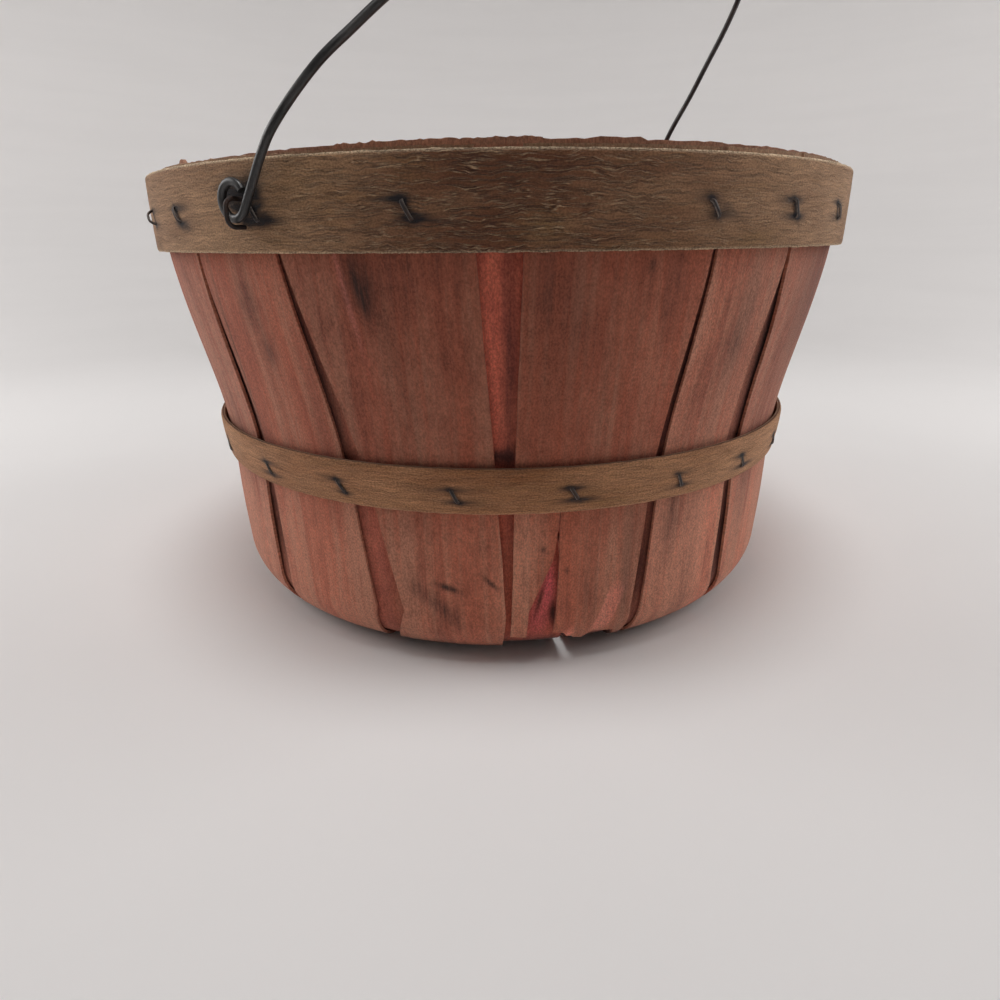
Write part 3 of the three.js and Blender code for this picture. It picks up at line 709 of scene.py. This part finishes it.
# One half of a splint as rows from the middle of the bottom outwards
def splintHalf(node, layer, end, columns, wallRows, draw):
    middle = (end + layer["shift"]) * pitch
    baseEdges = cadEdges(node, basket["cornerRadius"], middle)
    rimEdges = cadEdges(node, rimBottom, middle)
    footEdges = (middle - pitch / 2, middle + pitch / 2)
    top = cadTop(node, middle) - layer["lower"] * draw.random()
    slope = 0.0
    if end in layer["tops"]:
        left, right = layer["tops"][end]
        top = rimTop + (left + right) / 2
        slope = (right - left) / 2
    warp = {"curl": layer["warp"] * draw.uniform(0.2, 1.0) * splint["curl"],
            "bow": layer["warp"] * draw.uniform(-0.5, 1.0) * splint["bow"]}
    values = {name: draw.uniform(least, most) for name, (least, most) in splint["tones"].items()}
    values.update(layer["tones"].get(end, {}))
    seed = draw.uniform(0.0, 50.0)
    torn = node == tear["node"] and end == 0
    rows = []
    travelled = 0.0
    previous = None
    stations = splintStations(cadLevel(node), layer["inset"], top, wallRows)
    for radius, height, into, toBase, toRim, turn in stations:
        if previous:
            travelled += math.hypot(radius - previous[0], height - previous[1])
        previous = (radius, height)
        edges = []
        for side, sign in ((0, 1), (1, -1)):
            wall = lerp(baseEdges[side], rimEdges[side], toRim) + sign * layer["trim"] / radius
            spread = smooth((height - layer["spreadFrom"]) / splint["spreadRise"])
            wall -= sign * layer["spread"] * spread / radius
            wide = layer["gaps"].get((end, side), 0.0) * smooth((height - bellyBottom) / splint["gapOpens"])
            wall += sign * wide * smooth((rimBottom - height) / splint["gapCloses"]) / radius
            foot = footEdges[side] + sign * basket["footGap"] / 2 / radius
            wander = splint["edgeWander"] * waver(travelled * 45, seed + side * 7) / radius
            edges.append(lerp(foot, wall, toBase) + wander * toBase)
        angles = [lerp(edges[0], edges[1], column / columns) for column in range(columns + 1)]
        lips = None
        if torn:
            angles, lips = tornAngles(edges, height, toBase, columns)
        row = []
        for angle in angles:
            place = (radius, height, into)
            gone = False
            if torn and turn is not None:
                gone = turn < breakTurn(angle)
                place = cornerPoint(max(turn, breakTurn(angle)), layer["inset"])
            across = clamp((angle - edges[0]) / (edges[1] - edges[0])) * 2 - 1
            lift = faceLift(place[1], across, warp)
            if torn and toBase > 0:
                lift += lipLift(angle, lips)
            fray = slope * across * smooth((height - rimBottom) / (top - rimBottom))
            if height == top:
                rough = waver(angle * 70, seed) + waver(angle * 260, seed)
                fray += layer["fray"] * splint["topFray"] * rough
                fray += topBump(angle, layer["bumps"])
            point = onCircle(place[0] - place[2][0] * lift, angle, place[1] - place[2][1] * lift + fray)
            inwards = onCircle(place[2][0], angle, place[2][1]) * basket["veneer"]
            grain = ((angle - middle) * max(radius, basket["splitRadius"]), travelled, seed)
            look = marked(angle, place[1], layer["marks"], values)
            # lower wall lighter and more bare: part wear, part painted light from the floor's bounce
            worn = layer["footLightAndWear"] * smooth((bellyTop - place[1]) / splint["footLightFade"])
            # painted shade under the foot, put in as grime and less lightness
            dirtAndShade = smooth((splint["footShadeBelow"] - place[1]) / splint["footShadeFade"])
            dirtAndShade = layer["footShade"] * dirtAndShade
            look["shade"] += worn - dirtAndShade
            look["bare"] += worn
            look["grime"] += dirtAndShade
            # redder, darker stain near the rim: part stain kept from weathering, part painted shadow of the
            # rim
            fresh = smooth((place[1] - splint["rimShadeFrom"]) / splint["rimShadeFade"])
            look["fresh"] += layer["rimShadeAndStain"] * fresh
            weather = smooth((height - rimTop + splint["weatheredBelow"]) / splint["weatheredTop"])
            weather = weather * layer["weather"]
            paint = (look["grime"], look["fresh"], look["bare"])
            row.append((point, inwards, grain, paint, (weather, look["pink"], look["shade"]), gone))
        rows.append(row)
    return rows


def mixPoint(first, last, share):
    mixed = [tuple(lerp(a, b, share) for a, b in zip(first[part], last[part])) for part in (2, 3, 4)]
    return first[0].lerp(last[0], share), first[1].lerp(last[1], share), *mixed, False


def makeSplint(node, number, layer, draw):
    fine = number + 1 in layer["fine"]
    columns = splint["fineColumns"] if fine else splint["columns"]
    wallRows = splint["fineWallRows"] if fine else splint["wallRows"]
    near = splintHalf(node, layer, number, columns, wallRows, draw)
    far = splintHalf(node, layer, number + basket["ends"] // 2, columns, wallRows, draw)
    seam = tear["leftColumns"]
    wide = len(near[0]) > len(far[0])
    if wide:                       # the torn half has one column more, which the other half doubles
        back = columns - seam
        far = [row[:back + 1] + row[back:] for row in far]
    far = [list(reversed(row)) for row in reversed(far)]
    for row in far:
        for place, (point, inwards, grain, *rest) in enumerate(row):
            row[place] = (point, inwards, (-grain[0], -grain[1], grain[2]), *rest)
    middle = []
    for step in range(1, splint["middleRows"]):
        share = step / splint["middleRows"]
        middle.append([mixPoint(first, last, share) for first, last in zip(far[-1], near[0])])
    rows = far + middle + near
    points, offsets, grains, paints, wears, quads, index = [], [], [], [], [], [], []
    for row in rows:
        places = []
        for column, (point, inwards, grain, paint, wear, gone) in enumerate(row):
            doubled = column > 0 and (point - row[column - 1][0]).length < 1e-7
            if not doubled:
                points.append(point)
                offsets.append(inwards)
                grains.append(grain)
                paints.append(paint)
                wears.append(wear)
            places.append(len(points) - 1)
        index.append(places)
    for low, high, above in zip(index, index[1:], rows[1:]):
        for column in range(len(low) - 1):
            acrossTear = wide and column == seam
            gone = above[column][5] and above[column + 1][5]
            if not acrossTear and not gone:
                quads.append((low[column], low[column + 1], high[column + 1], high[column]))
    used = sorted({corner for quad in quads for corner in quad})
    kept = {old: new for new, old in enumerate(used)}
    quads = [tuple(kept[corner] for corner in quad) for quad in quads]
    solid, faces = thicken([points[old] for old in used], [offsets[old] for old in used], quads)
    attributes = {"grain": grains, "paint": paints, "wear": wears}
    attributes = {label: [values[old] for old in used] * 2 for label, values in attributes.items()}
    makePiece(node + "_veneer", solid, faces, attributes, layer["material"], node)


draw = random.Random(splint["seed"])
layers = [
    {
        "name": "outer_splint", "shift": 0.5, "inset": 0.0, "warp": 1.0, "fray": 1.0, "weather": 1.0,
        # the lighter foot is part wear, part painted light; the dark foot is painted shade; the redder top is
        # kept stain with painted shadow of the rim
        "fine": (1, 2, 7, 8), "footLightAndWear": 0.26, "footShade": 0.5, "rimShadeAndStain": 0.3,
        # edges that stand further back between the hoops: end, then 0 for left and 1 for right
        "gaps": {(1, 1): 0.0044, (2, 0): 0.0022},
        "trim": splint["edgeTrim"], "material": outerVeneer, "slot": "outer_splint_wood", "marks": outerMarks,
        "lower": 0.0006, "spread": 0.0, "spreadFrom": rimBottom, "bumps": [],
        # heights of the left and right corners over the rim
        "tops": {13: (0.0018, 0.0017), 14: (0.0016, 0.0014), 15: (0.0013, 0.0014), 0: (0.0016, 0.0019),
                 1: (0.0021, 0.0022), 2: (0.0022, 0.002)},
        # the ends in front
        "tones": {
            13: {"grime": 0.0, "fresh": 0.0, "bare": 0.3, "shade": 1.03},
            14: {"grime": 0.02, "fresh": 0.05, "bare": 0.1, "shade": 1.05},
            15: {"grime": 0.08, "fresh": 0.12, "bare": 0.0, "shade": 1.0},
            0: {"grime": 0.08, "fresh": 0.1, "bare": 0.0, "shade": 1.0},
            1: {"grime": 0.04, "fresh": 0.0, "bare": 0.28, "shade": 1.15},
            2: {"grime": 0.02, "fresh": 0.0, "bare": 0.25, "shade": 1.08},
        },
    },
    {
        "name": "inner_splint", "shift": 1.0, "inset": basket["innerInset"], "warp": 0.0, "fray": 1.6,
        "weather": 0.8, "fine": (6, 8), "footLightAndWear": 0.0, "footShade": 0.0, "rimShadeAndStain": 0.0, "gaps": {},
        "trim": 0.0, "material": innerVeneer, "slot": "inner_splint_wood", "marks": innerMarks,
        "lower": 0.0012, "spread": 0.0027, "spreadFrom": 0.15,
        "bumps": [(9.5, 17.0, 0.0006), (-49.0, -46.8, 0.002)],
        "tops": {13: (0.0017, 0.0017), 14: (0.0018, 0.003), 15: (0.0032, 0.0041), 0: (0.0033, 0.0036),
                 1: (0.0033, 0.0031), 2: (0.0031, 0.0029)},
        "tones": {15: {"grime": 0.0, "fresh": 0.3, "bare": 0.0, "shade": 1.1}},
    },
]
for layer in layers:
    for number in range(basket["ends"] // 2):
        makeSplint(f"{layer['name']}_{number + 1}", number, layer, draw)
print("splints made")


# Staples, placed as their solids are
staple = {
    "crown": 0.0085,
    "wire": 0.0014,
    "tilt": 60,
    "clinch": 0.0019,
    "bend": 0.0011,
    "looseAngle": -58,       # one has worked loose at the left
    "loose": 0.0016,
    "seed": 21,
}
rimStaples = sorted(name for name in frame["nodes"] if name.startswith("rim_staple"))
bellyStaples = sorted(name for name in frame["nodes"] if name.startswith("belly_staple"))


# Angle, height, and the radii of the crown's and the clinch's outer faces
def stapleSpot(node):
    vertices = [vertex.co for vertex in frame["nodes"][node].data.vertices]
    middle = sum(vertices, Vector()) / len(vertices)
    angle = angleOf(middle)
    reach = [point.dot(onCircle(1, angle, 0)) for point in vertices]
    return angle, middle.z, max(reach), min(reach)


def makeStaple(node, draw):
    angle, height, crownRadius, clinchRadius = stapleSpot(node)
    tilt = math.radians(staple["tilt"] + draw.uniform(-9, 9))
    height += draw.uniform(-0.0006, 0.0006)
    bow = draw.uniform(0.0001, 0.0005)
    if node in rimStaples and abs(math.degrees(turnFrom(angle, math.radians(staple["looseAngle"])))) < 3:
        bow += staple["loose"]
    out = onCircle(1, angle, 0)
    right = Vector((0, 0, 1)).cross(out)
    along = right * math.cos(tilt) - Vector((0, 0, 1)) * math.sin(tilt)
    half = (staple["crown"] - staple["wire"]) / 2
    tip = half - staple["clinch"]
    crown = crownRadius - staple["wire"] / 2
    clinch = clinchRadius + staple["wire"] / 2

    def at(sideways, radius):
        return out * radius + along * sideways + Vector((0, 0, height))

    corners = [at(-tip, clinch), at(-half, clinch), at(-half, crown), at(-half / 2, crown + bow),
               at(half / 2, crown + bow), at(half, crown), at(half, clinch), at(tip, clinch)]
    path = roundCorners(corners, staple["bend"], 4)
    points, faces, attributes = sweepWire(
        path, staple["wire"] * 0.56, staple["wire"] * 0.36, 12, along.cross(out))
    shift = draw.uniform(0, 20)
    attributes["grain"] = [(x, y + shift, z) for x, y, z in attributes["grain"]]
    makePiece(node + "_wire", points, faces, attributes, stapleSteel, node)


draw = random.Random(staple["seed"])
for node in rimStaples + bellyStaples:
    makeStaple(node, draw)

bottomStaple = {"crown": 0.013, "wire": 0.0014, "clinch": 0.0019, "bend": 0.0012}


def makeBottomStaple():
    low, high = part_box("bottom_staple")
    half = (bottomStaple["crown"] - bottomStaple["wire"]) / 2
    tip = half - bottomStaple["clinch"]
    under = low.z + bottomStaple["wire"] / 2
    over = high.z - bottomStaple["wire"] / 2
    outline = [(-tip, over), (-half, over), (-half, under), (half, under), (half, over), (tip, over)]
    path = roundCorners([Vector((x, 0, z)) for x, z in outline], bottomStaple["bend"], 4)
    wire = bottomStaple["wire"]
    points, faces, attributes = sweepWire(path, wire * 0.5, wire * 0.5, 10, Vector((0, 1, 0)))
    makePiece("bottom_staple_wire", points, faces, attributes, stapleSteel, "bottom_staple")


makeBottomStaple()
print("staples made:", len(rimStaples) + len(bellyStaples) + 1)


# Iron stain creeps along the grain from both ends of a staple's crown: where, how far and how dark
def stainSpots(nodes, shortest, longest, seed):
    draw = random.Random(seed)
    spots = []
    for node in nodes:
        angle, height = stapleSpot(node)[:2]
        runs = [draw.uniform(shortest, longest) for end in range(4)]
        spots.append({"angle": angle, "height": height, "runs": runs, "depth": draw.uniform(0.8, 1.3)})
    return spots


def ironStainAndShade(angle, height, radius, spots, look):
    stain = 0.0
    tilt = math.radians(staple["tilt"])
    for spot in spots:
        sideways = turnFrom(angle, spot["angle"]) * radius
        upwards = height - spot["height"]
        if abs(sideways) > 0.04:
            continue
        across = (sideways * math.sin(tilt) + upwards * math.cos(tilt)) / 0.0013
        stain += 0.9 * math.exp(-across * across - (upwards / 0.0042) ** 2)
        for end, (left, right) in ((-1, spot["runs"][:2]), (1, spot["runs"][2:])):
            fromEnd = sideways - end * 0.0034 * math.cos(tilt)
            level = (upwards + end * 0.0034 * math.sin(tilt)) / look["stainHeight"]
            run = left if fromEnd < 0 else right
            stain += spot["depth"] * math.exp(-level * level - (fromEnd / run) ** 2)
    # the blots: dark stains, and painted shadow of the bail beside the front ear
    for blot in look["blots"]:
        sideways = turnFrom(angle, math.radians(blot["angle"])) * radius / blot["width"]
        upwards = (height - blot["height"]) / blot["tall"]
        stain += blot["depth"] * math.exp(-sideways * sideways - upwards * upwards)
    return min(stain, 1.0)


# Raised fibres: the relief in metres
def raisedGrain(travelled, height, look):
    wave = 0.0014 * waver(travelled * 60, height * 90, look["seed"])
    wave += 0.001 * waver(travelled * 190, height * 170, look["seed"] + 3)
    lines = waver(travelled * 24, (height + wave) * 330, look["seed"] + 9)
    broken = clamp(0.5 + 1.4 * waver(travelled * 70, height * 260, look["seed"] + 15))
    slow = waver(travelled * 9, height * 40, look["seed"] + 33)
    return look["relief"] * (clamp(1 - abs(lines) * 3.2) * broken + 0.5 * slow - 0.2)


# Hoops: long strips with lapped ends
def makeHoop(node, look):
    low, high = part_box(node)
    bottom, top = low.z, high.z
    lapStart = math.radians(look["lapStart"])
    ramp = math.radians(look["ramp"])
    lift = look["side"] * (look["thickness"] + look["lapGap"])
    rows = look["rows"]
    shares = [(row / rows, 0) for row in range(rows + 1)] + [(1.0, 0.5)]
    shares += [(1 - row / look["innerRows"], 1) for row in range(look["innerRows"] + 1)] + [(0.0, 0.5)]
    points, grains, paints, zones, faces = [], [], [], [], []
    for column in range(look["columns"] + 1):
        angle = lapStart + (2 * math.pi + math.radians(look["lap"])) * column / look["columns"]
        raised = lift * smooth((angle - lapStart - 2 * math.pi + ramp) / ramp)
        travelled = angle * look["radius"]
        for share, depth in shares:
            height = lerp(bottom, top, share)
            edge = min(share, 1 - share) * (top - bottom)
            zone = marked(angle, height, look["marks"], look["zone"])
            bulge = look["bulge"] * (1 - (2 * share - 1) ** 2)
            radius = lerp(look["insideBottom"], look["insideTop"], share) + look["thickness"] * (1 - depth)
            if depth == 0:
                rounding = look["rounding"] * (1 - clamp(edge / look["edge"])) ** 2
                relief = raisedGrain(travelled, height, look) * clamp(0.3 + zone["raised"])
                radius += relief * clamp(edge / 0.002) + bulge - rounding
            else:
                radius += bulge * 0.5 * depth
            if edge == 0:
                rough = waver(travelled * 160, share * 9 + look["seed"])
                rough += 0.6 * waver(travelled * 620, share * 9 + look["seed"])
                height += look["fray"] * rough
            points.append(onCircle(radius + raised, angle, height))
            grains.append((travelled, height + depth * 0.1, look["seed"]))
            fuzz = (look["fuzz"], 0.0, look["innerFuzz"])[round(depth * 2)]
            pale = fuzz * smooth(1 - edge / look["fuzzDepth"])
            # on the lower edges the pale colour is a painted highlight where the edge catches the light
            pale *= 1.0 if share > 0.5 else look["lowerEdgeHighlight"]
            # iron stain, with painted shadow from the rim's blots
            stain = ironStainAndShade(angle, height, radius, look["spots"], look)
            paints.append((stain, pale, look["edgeDark"] if depth == 0.5 else 0.0))
            zones.append((zone["brown"], zone["olive"], clamp(zone["raised"])))
    loop = len(shares)
    for column in range(look["columns"]):
        for step in range(loop):
            here = column * loop + step
            beside = column * loop + (step + 1) % loop
            faces.append((here, here + loop, beside + loop, beside))
    faces.append(tuple(range(loop)))
    faces.append(tuple(reversed(range(len(points) - loop, len(points)))))
    attributes = {"grain": grains, "paint": paints, "zone": zones}
    makePiece(node + "_strip", points, faces, attributes, look["material"], node, crease=55)


rimMarks = [
    woodMark(-1.0, 0.206, 22.0, 0.05, raised=0.75),
    woodMark(1.0, 0.206, 16.0, 0.05, brown=0.78),
    woodMark(-0.5, 0.194, 4.0, 0.006, brown=0.5),
    woodMark(4.5, 0.197, 3.0, 0.006, olive=0.45, brown=-0.3),
    woodMark(21.0, 0.205, 9.0, 0.02, brown=0.25),
    woodMark(-23.0, 0.212, 7.0, 0.012, olive=0.35),
    woodMark(-28.0, 0.201, 1.6, 0.0025, brown=0.8),
    woodMark(3.1, 0.202, 0.35, 0.001, brown=1.0),
    woodMark(9.1, 0.2018, 0.35, 0.001, brown=1.0),
    woodMark(32.0, 0.192, 4.0, 0.004, olive=0.6, brown=0.3),
]
# dark stains beside the front ear and the staples; the first three also paint the shadow of the bail's eye
# and shank: half sizes in metres
rimBlots = [
    {"angle": -30.2, "height": 0.2085, "width": 0.006, "tall": 0.006, "depth": 1.2},
    {"angle": -32.6, "height": 0.2098, "width": 0.005, "tall": 0.0052, "depth": 1.4},
    {"angle": -28.7, "height": 0.2115, "width": 0.0042, "tall": 0.008, "depth": 0.65},
    {"angle": -27.7, "height": 0.2012, "width": 0.0032, "tall": 0.002, "depth": 1.0},
    {"angle": -26.2, "height": 0.2, "width": 0.005, "tall": 0.0012, "depth": 0.4},
    {"angle": -43.6, "height": 0.1985, "width": 0.0045, "tall": 0.0014, "depth": 0.55},
    {"angle": -9.1, "height": 0.2005, "width": 0.0024, "tall": 0.0017, "depth": 0.9},
    {"angle": -6.6, "height": 0.1995, "width": 0.006, "tall": 0.0009, "depth": 0.45},
    {"angle": -12.2, "height": 0.2068, "width": 0.005, "tall": 0.0009, "depth": 0.5},
    {"angle": 26.4, "height": 0.2035, "width": 0.004, "tall": 0.002, "depth": 0.45},
]
rimHoop = {
    "thickness": 0.0048, "insideTop": 0.1832, "insideBottom": 0.1832, "radius": 0.188, "side": 1,
    "lapStart": 112.5, "lap": 5.63, "ramp": 5.6, "lapGap": 0.00015, "columns": 1000, "rows": 56,
    "innerRows": 6, "relief": 0.00014, "bulge": 0.0002, "rounding": 0.0004, "edge": 0.0012, "fray": 0.0003,
    "fuzz": 1.0, "innerFuzz": 1.0, "lowerEdgeHighlight": 0.55, "fuzzDepth": 0.001, "edgeDark": 0.85, "seed": 3.0,
    "stainHeight": 0.0016, "blots": rimBlots,
    "spots": stainSpots(rimStaples + ["front_ear", "rear_ear"], 0.003, 0.012, 8),
    "marks": rimMarks, "zone": {"brown": 0.0, "olive": 0.0, "raised": 0.3}, "material": rimWood,
    "slot": "rim_hoop_wood",
}
makeHoop("outer_rim_hoop", rimHoop)
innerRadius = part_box("inner_rim_hoop")[1].x
innerHoop = dict(rimHoop, thickness=0.003, insideTop=innerRadius - 0.003, insideBottom=innerRadius - 0.003,
                 radius=innerRadius, side=-1, lapStart=219.4, columns=420, rows=12, innerRows=12, seed=11.0,
                 marks=[], spots=[], blots=[])
makeHoop("inner_rim_hoop", innerHoop)

bellyStandoff = 0.00035
bellyHoop = {
    "thickness": 0.0022, "insideTop": wallRadius(bellyTop) + bellyStandoff + 0.0012,
    "insideBottom": wallRadius(bellyBottom) + bellyStandoff, "radius": 0.1687, "side": 1, "lapStart": 157.5,
    "lap": 5.63, "ramp": 5.6, "lapGap": 0.00015, "columns": 900, "rows": 42, "innerRows": 4,
    "relief": 0.0001, "bulge": 0.0006, "rounding": 0.0007, "edge": 0.0016, "fray": 0.0002, "fuzz": 0.15,
    "innerFuzz": 1.0, "lowerEdgeHighlight": 0.55, "fuzzDepth": 0.0007, "edgeDark": 0.85,
    "seed": 17.0, "stainHeight": 0.0014, "spots": stainSpots(bellyStaples, 0.003, 0.01, 4), "blots": [],
    "marks": [woodMark(3.0, 0.092, 14.0, 0.05, brown=0.4)],
    "zone": {"brown": 0.08, "olive": 0.0, "raised": 0.3}, "material": bellyWood, "slot": "belly_hoop_wood",
}
makeHoop("belly_hoop", bellyHoop)
print("hoops made")


# Ears and bail
wire = {
    "earWire": 0.0018,
    "earSpan": 0.0099,
    "earBend": 0.004,
    "earBow": 0.1959,        # radius of the ear's outer run
    "earInside": 0.17353,    # radius where the legs fold over
    "earClinch": 0.006,
    "bailWire": 0.0033,
    "eyePlace": 0.19155,
    "eyeRadius": 0.00635,
    "eyeHang": 0.0007,
    "eyeTurn": 295,
    "bailLean": 34.5,
}
# how far the arms lean in from their eyes, and how high over the rim's top
frontArm = [(0.0, 0.005), (0.001, 0.015), (0.005, 0.0265), (0.013, 0.042), (0.0225, 0.0542), (0.031, 0.0647),
            (0.046, 0.0815), (0.066, 0.1005), (0.096, 0.121), (0.136, 0.141), (0.182, 0.158)]
rearArm = [(0.0, 0.005), (0.0025, 0.018), (0.01, 0.034), (0.023, 0.056), (0.029, 0.084), (0.0357, 0.105),
           (0.041, 0.1224), (0.05, 0.14), (0.066, 0.158), (0.093, 0.1695), (0.13, 0.172)]


def makeEar(node, out):
    angle = angleOf(out)
    upper = pivot.z
    lower = pivot.z - wire["earSpan"]
    inside, bow, clinch = wire["earInside"], wire["earBow"], wire["earClinch"]
    route = [(inside, upper + clinch), (inside, upper), (bow, upper), (bow, lower), (inside, lower),
             (inside, lower - clinch)]
    path = roundCorners([onCircle(radius, angle, height) for radius, height in route], wire["earBend"], 6)
    half = wire["earWire"] / 2
    points, faces, attributes = sweepWire(path, half, half, 14, Vector((0, 0, 1)).cross(out))
    makePiece(node + "_wire", points, faces, attributes, stapleSteel, node)


makeEar("front_ear", towardsEar)
makeEar("rear_ear", -towardsEar)


# A smooth curve through points, with knots spaced by the root of their distance
def curveThrough(points, steps):
    ends = [points[0] * 2 - points[1]] + points + [points[-1] * 2 - points[-2]]
    path = []
    for before, start, end, after in zip(ends, ends[1:], ends[2:], ends[3:]):
        first = math.sqrt((start - before).length)
        second = math.sqrt((end - start).length)
        third = math.sqrt((after - end).length)
        leave = (start - before) / first - (end - before) / (first + second) + (end - start) / second
        arrive = (end - start) / second - (after - start) / (second + third) + (after - end) / third
        leave *= second
        arrive *= second
        for step in range(steps):
            t = step / steps
            curve = start + leave * t + (end * 3 - start * 3 - leave * 2 - arrive) * t ** 2
            path.append(curve + (start * 2 - end * 2 + leave + arrive) * t ** 3)
    path.append(points[-1])
    return path


def makeBail():
    lean = Matrix.Rotation(-math.radians(wire["bailLean"]), 3, "X")
    upright = Matrix((towardsEar, Vector((0, 0, 1)).cross(towardsEar), (0, 0, 1))).transposed()
    eye = []
    steps = 28
    for step in range(steps + 1):
        angle = -math.radians(wire["eyeTurn"]) * (1 - step / steps)
        sideways = wire["eyeRadius"] * math.cos(angle)
        level = wire["eyeRadius"] * math.sin(angle) - wire["eyeHang"]
        eye.append(Vector((wire["eyePlace"], sideways, level)))
    deep = rimTop - pivot.z
    mirror = Vector((-1, 1, 1))
    place, side = wire["eyePlace"], wire["eyeRadius"]
    rising = [Vector((place - inset, side, deep + rise)) for inset, rise in frontArm]
    falling = [Vector((inset - place, side, deep + rise)) for inset, rise in reversed(rearArm)]
    arc = curveThrough(rising + falling, 10)
    shank = [eye[-1].lerp(arc[0], share / 5) for share in range(1, 5)]
    eyeIn = eye + shank
    path = eyeIn + arc + [point * mirror for point in reversed(eyeIn)]
    path = [pivot + upright @ (lean @ point) for point in path]
    half = wire["bailWire"] / 2
    points, faces, attributes = sweepWire(path, half, half, 18, towardsEar)
    makePiece("bail_rod", points, faces, attributes, bailSteel, "bail", "bail")


makeBail()
print("ears and bail made")


# Stage: a round pale cove, soft light, and the camera of the photograph
stage = {
    "floorColour": (0.84, 0.82, 0.81),
    "frontColour": (0.4, 0.39, 0.385),      # of the wall before the front, which keeps the light soft
    "floorRadius": 1.0,
    "coveRadius": 0.4,
    "height": 2.4,
    "turns": 72,
    "lights": [
        {"name": "left", "place": (-1.05, 0.1, 0.7), "aim": (0.0, 0.7, 0.4),
         "size": 0.9, "spread": 180, "power": 6.2},
        {"name": "right", "place": (1.05, 0.1, 0.7), "aim": (0.0, 0.7, 0.4),
         "size": 0.9, "spread": 180, "power": 5.8},
        {"name": "over", "place": (0.0, -0.25, 1.7), "aim": (0.0, -0.1, 0.0),
         "size": 0.6, "spread": 110, "power": 3.85},
    ],
    "ambient": 0.06,
}


def makeFloor():
    outline = [(0.01, 0.0), (stage["floorRadius"] / 2, 0.0), (stage["floorRadius"], 0.0)]
    for step in range(1, 17):
        turn = step / 16 * math.pi / 2
        outline.append((stage["floorRadius"] + stage["coveRadius"] * math.sin(turn),
                        stage["coveRadius"] * (1 - math.cos(turn))))
    outline.append((outline[-1][0], stage["height"]))
    turns = stage["turns"]
    points = []
    for radius, height in outline:
        points += [onCircle(radius, 2 * math.pi * step / turns, height) for step in range(turns)]
    faces = [tuple(range(turns))]
    for ring in range(len(outline) - 1):
        for step in range(turns):
            here = ring * turns + step
            beside = ring * turns + (step + 1) % turns
            faces.append((here, beside, beside + turns, here + turns))
    mesh = bpy.data.meshes.new("floor_cove")
    mesh.from_pydata(points, [], faces)
    mesh.shade_smooth()
    material, field = newMaterial("pale_paper")
    place = field.node("ShaderNodeTexCoord", output=3)
    cloud = place.figure(3.0, 3.0, 3.0)
    shaded = tuple(channel * 0.98 for channel in stage["floorColour"])
    colour = cloud.between(0.3, 0.7).tinted(stage["floorColour"], shaded)
    colour = place.parts()[1].between(-1.0, -0.7, 1.0, 0.0).tinted(colour, stage["frontColour"])
    finishMaterial(material, {"Base Color": colour}, {"Roughness": 0.6, "Specular IOR Level": 0.2})
    mesh.materials.append(material)
    floor = bpy.data.objects.new("floor_cove", mesh)
    scene.collection.objects.link(floor)


def makeLights():
    for lamp in stage["lights"]:
        data = bpy.data.lights.new("light_" + lamp["name"], "AREA")
        data.shape = "DISK"
        data.size = lamp["size"]
        data.energy = lamp["power"]
        data.spread = math.radians(lamp["spread"])
        light = bpy.data.objects.new("light_" + lamp["name"], data)
        light.location = lamp["place"]
        light.rotation_euler = (Vector(lamp["aim"]) - light.location).to_track_quat("-Z", "Y").to_euler()
        light.visible_camera = False
        scene.collection.objects.link(light)
    world = bpy.data.worlds.new("soft_room")
    world.use_nodes = True
    background = world.node_tree.nodes["Background"]
    background.inputs["Color"].default_value = (1.0, 0.985, 0.975, 1.0)
    background.inputs["Strength"].default_value = stage["ambient"]
    scene.world = world


view = {
    "place": (0.0, -0.44078, 0.1945),
    "pitch": 0.37076,    # radians below the horizon
    "yaw": -0.00278,
    "roll": -0.01018,
    "lens": 24.48,
    "sensor": 36.0,
}


def makeCamera():
    data = bpy.data.cameras.new("photo_camera")
    data.lens = view["lens"]
    data.sensor_width = view["sensor"]
    data.clip_start = 0.01
    camera = bpy.data.objects.new("photo_camera", data)
    ahead = Vector((math.sin(view["yaw"]), math.cos(view["yaw"]), 0)) * math.cos(view["pitch"])
    ahead.z = -math.sin(view["pitch"])
    right = ahead.cross(Vector((0, 0, 1))).normalized()
    up = right.cross(ahead)
    rolledRight = right * math.cos(view["roll"]) + up * math.sin(view["roll"])
    rolledUp = up * math.cos(view["roll"]) - right * math.sin(view["roll"])
    turned = Matrix((rolledRight, rolledUp, -ahead)).transposed().to_4x4()
    camera.matrix_world = Matrix.Translation(view["place"]) @ turned
    scene.collection.objects.link(camera)
    scene.camera = camera


makeFloor()
makeLights()
makeCamera()
print("stage made")
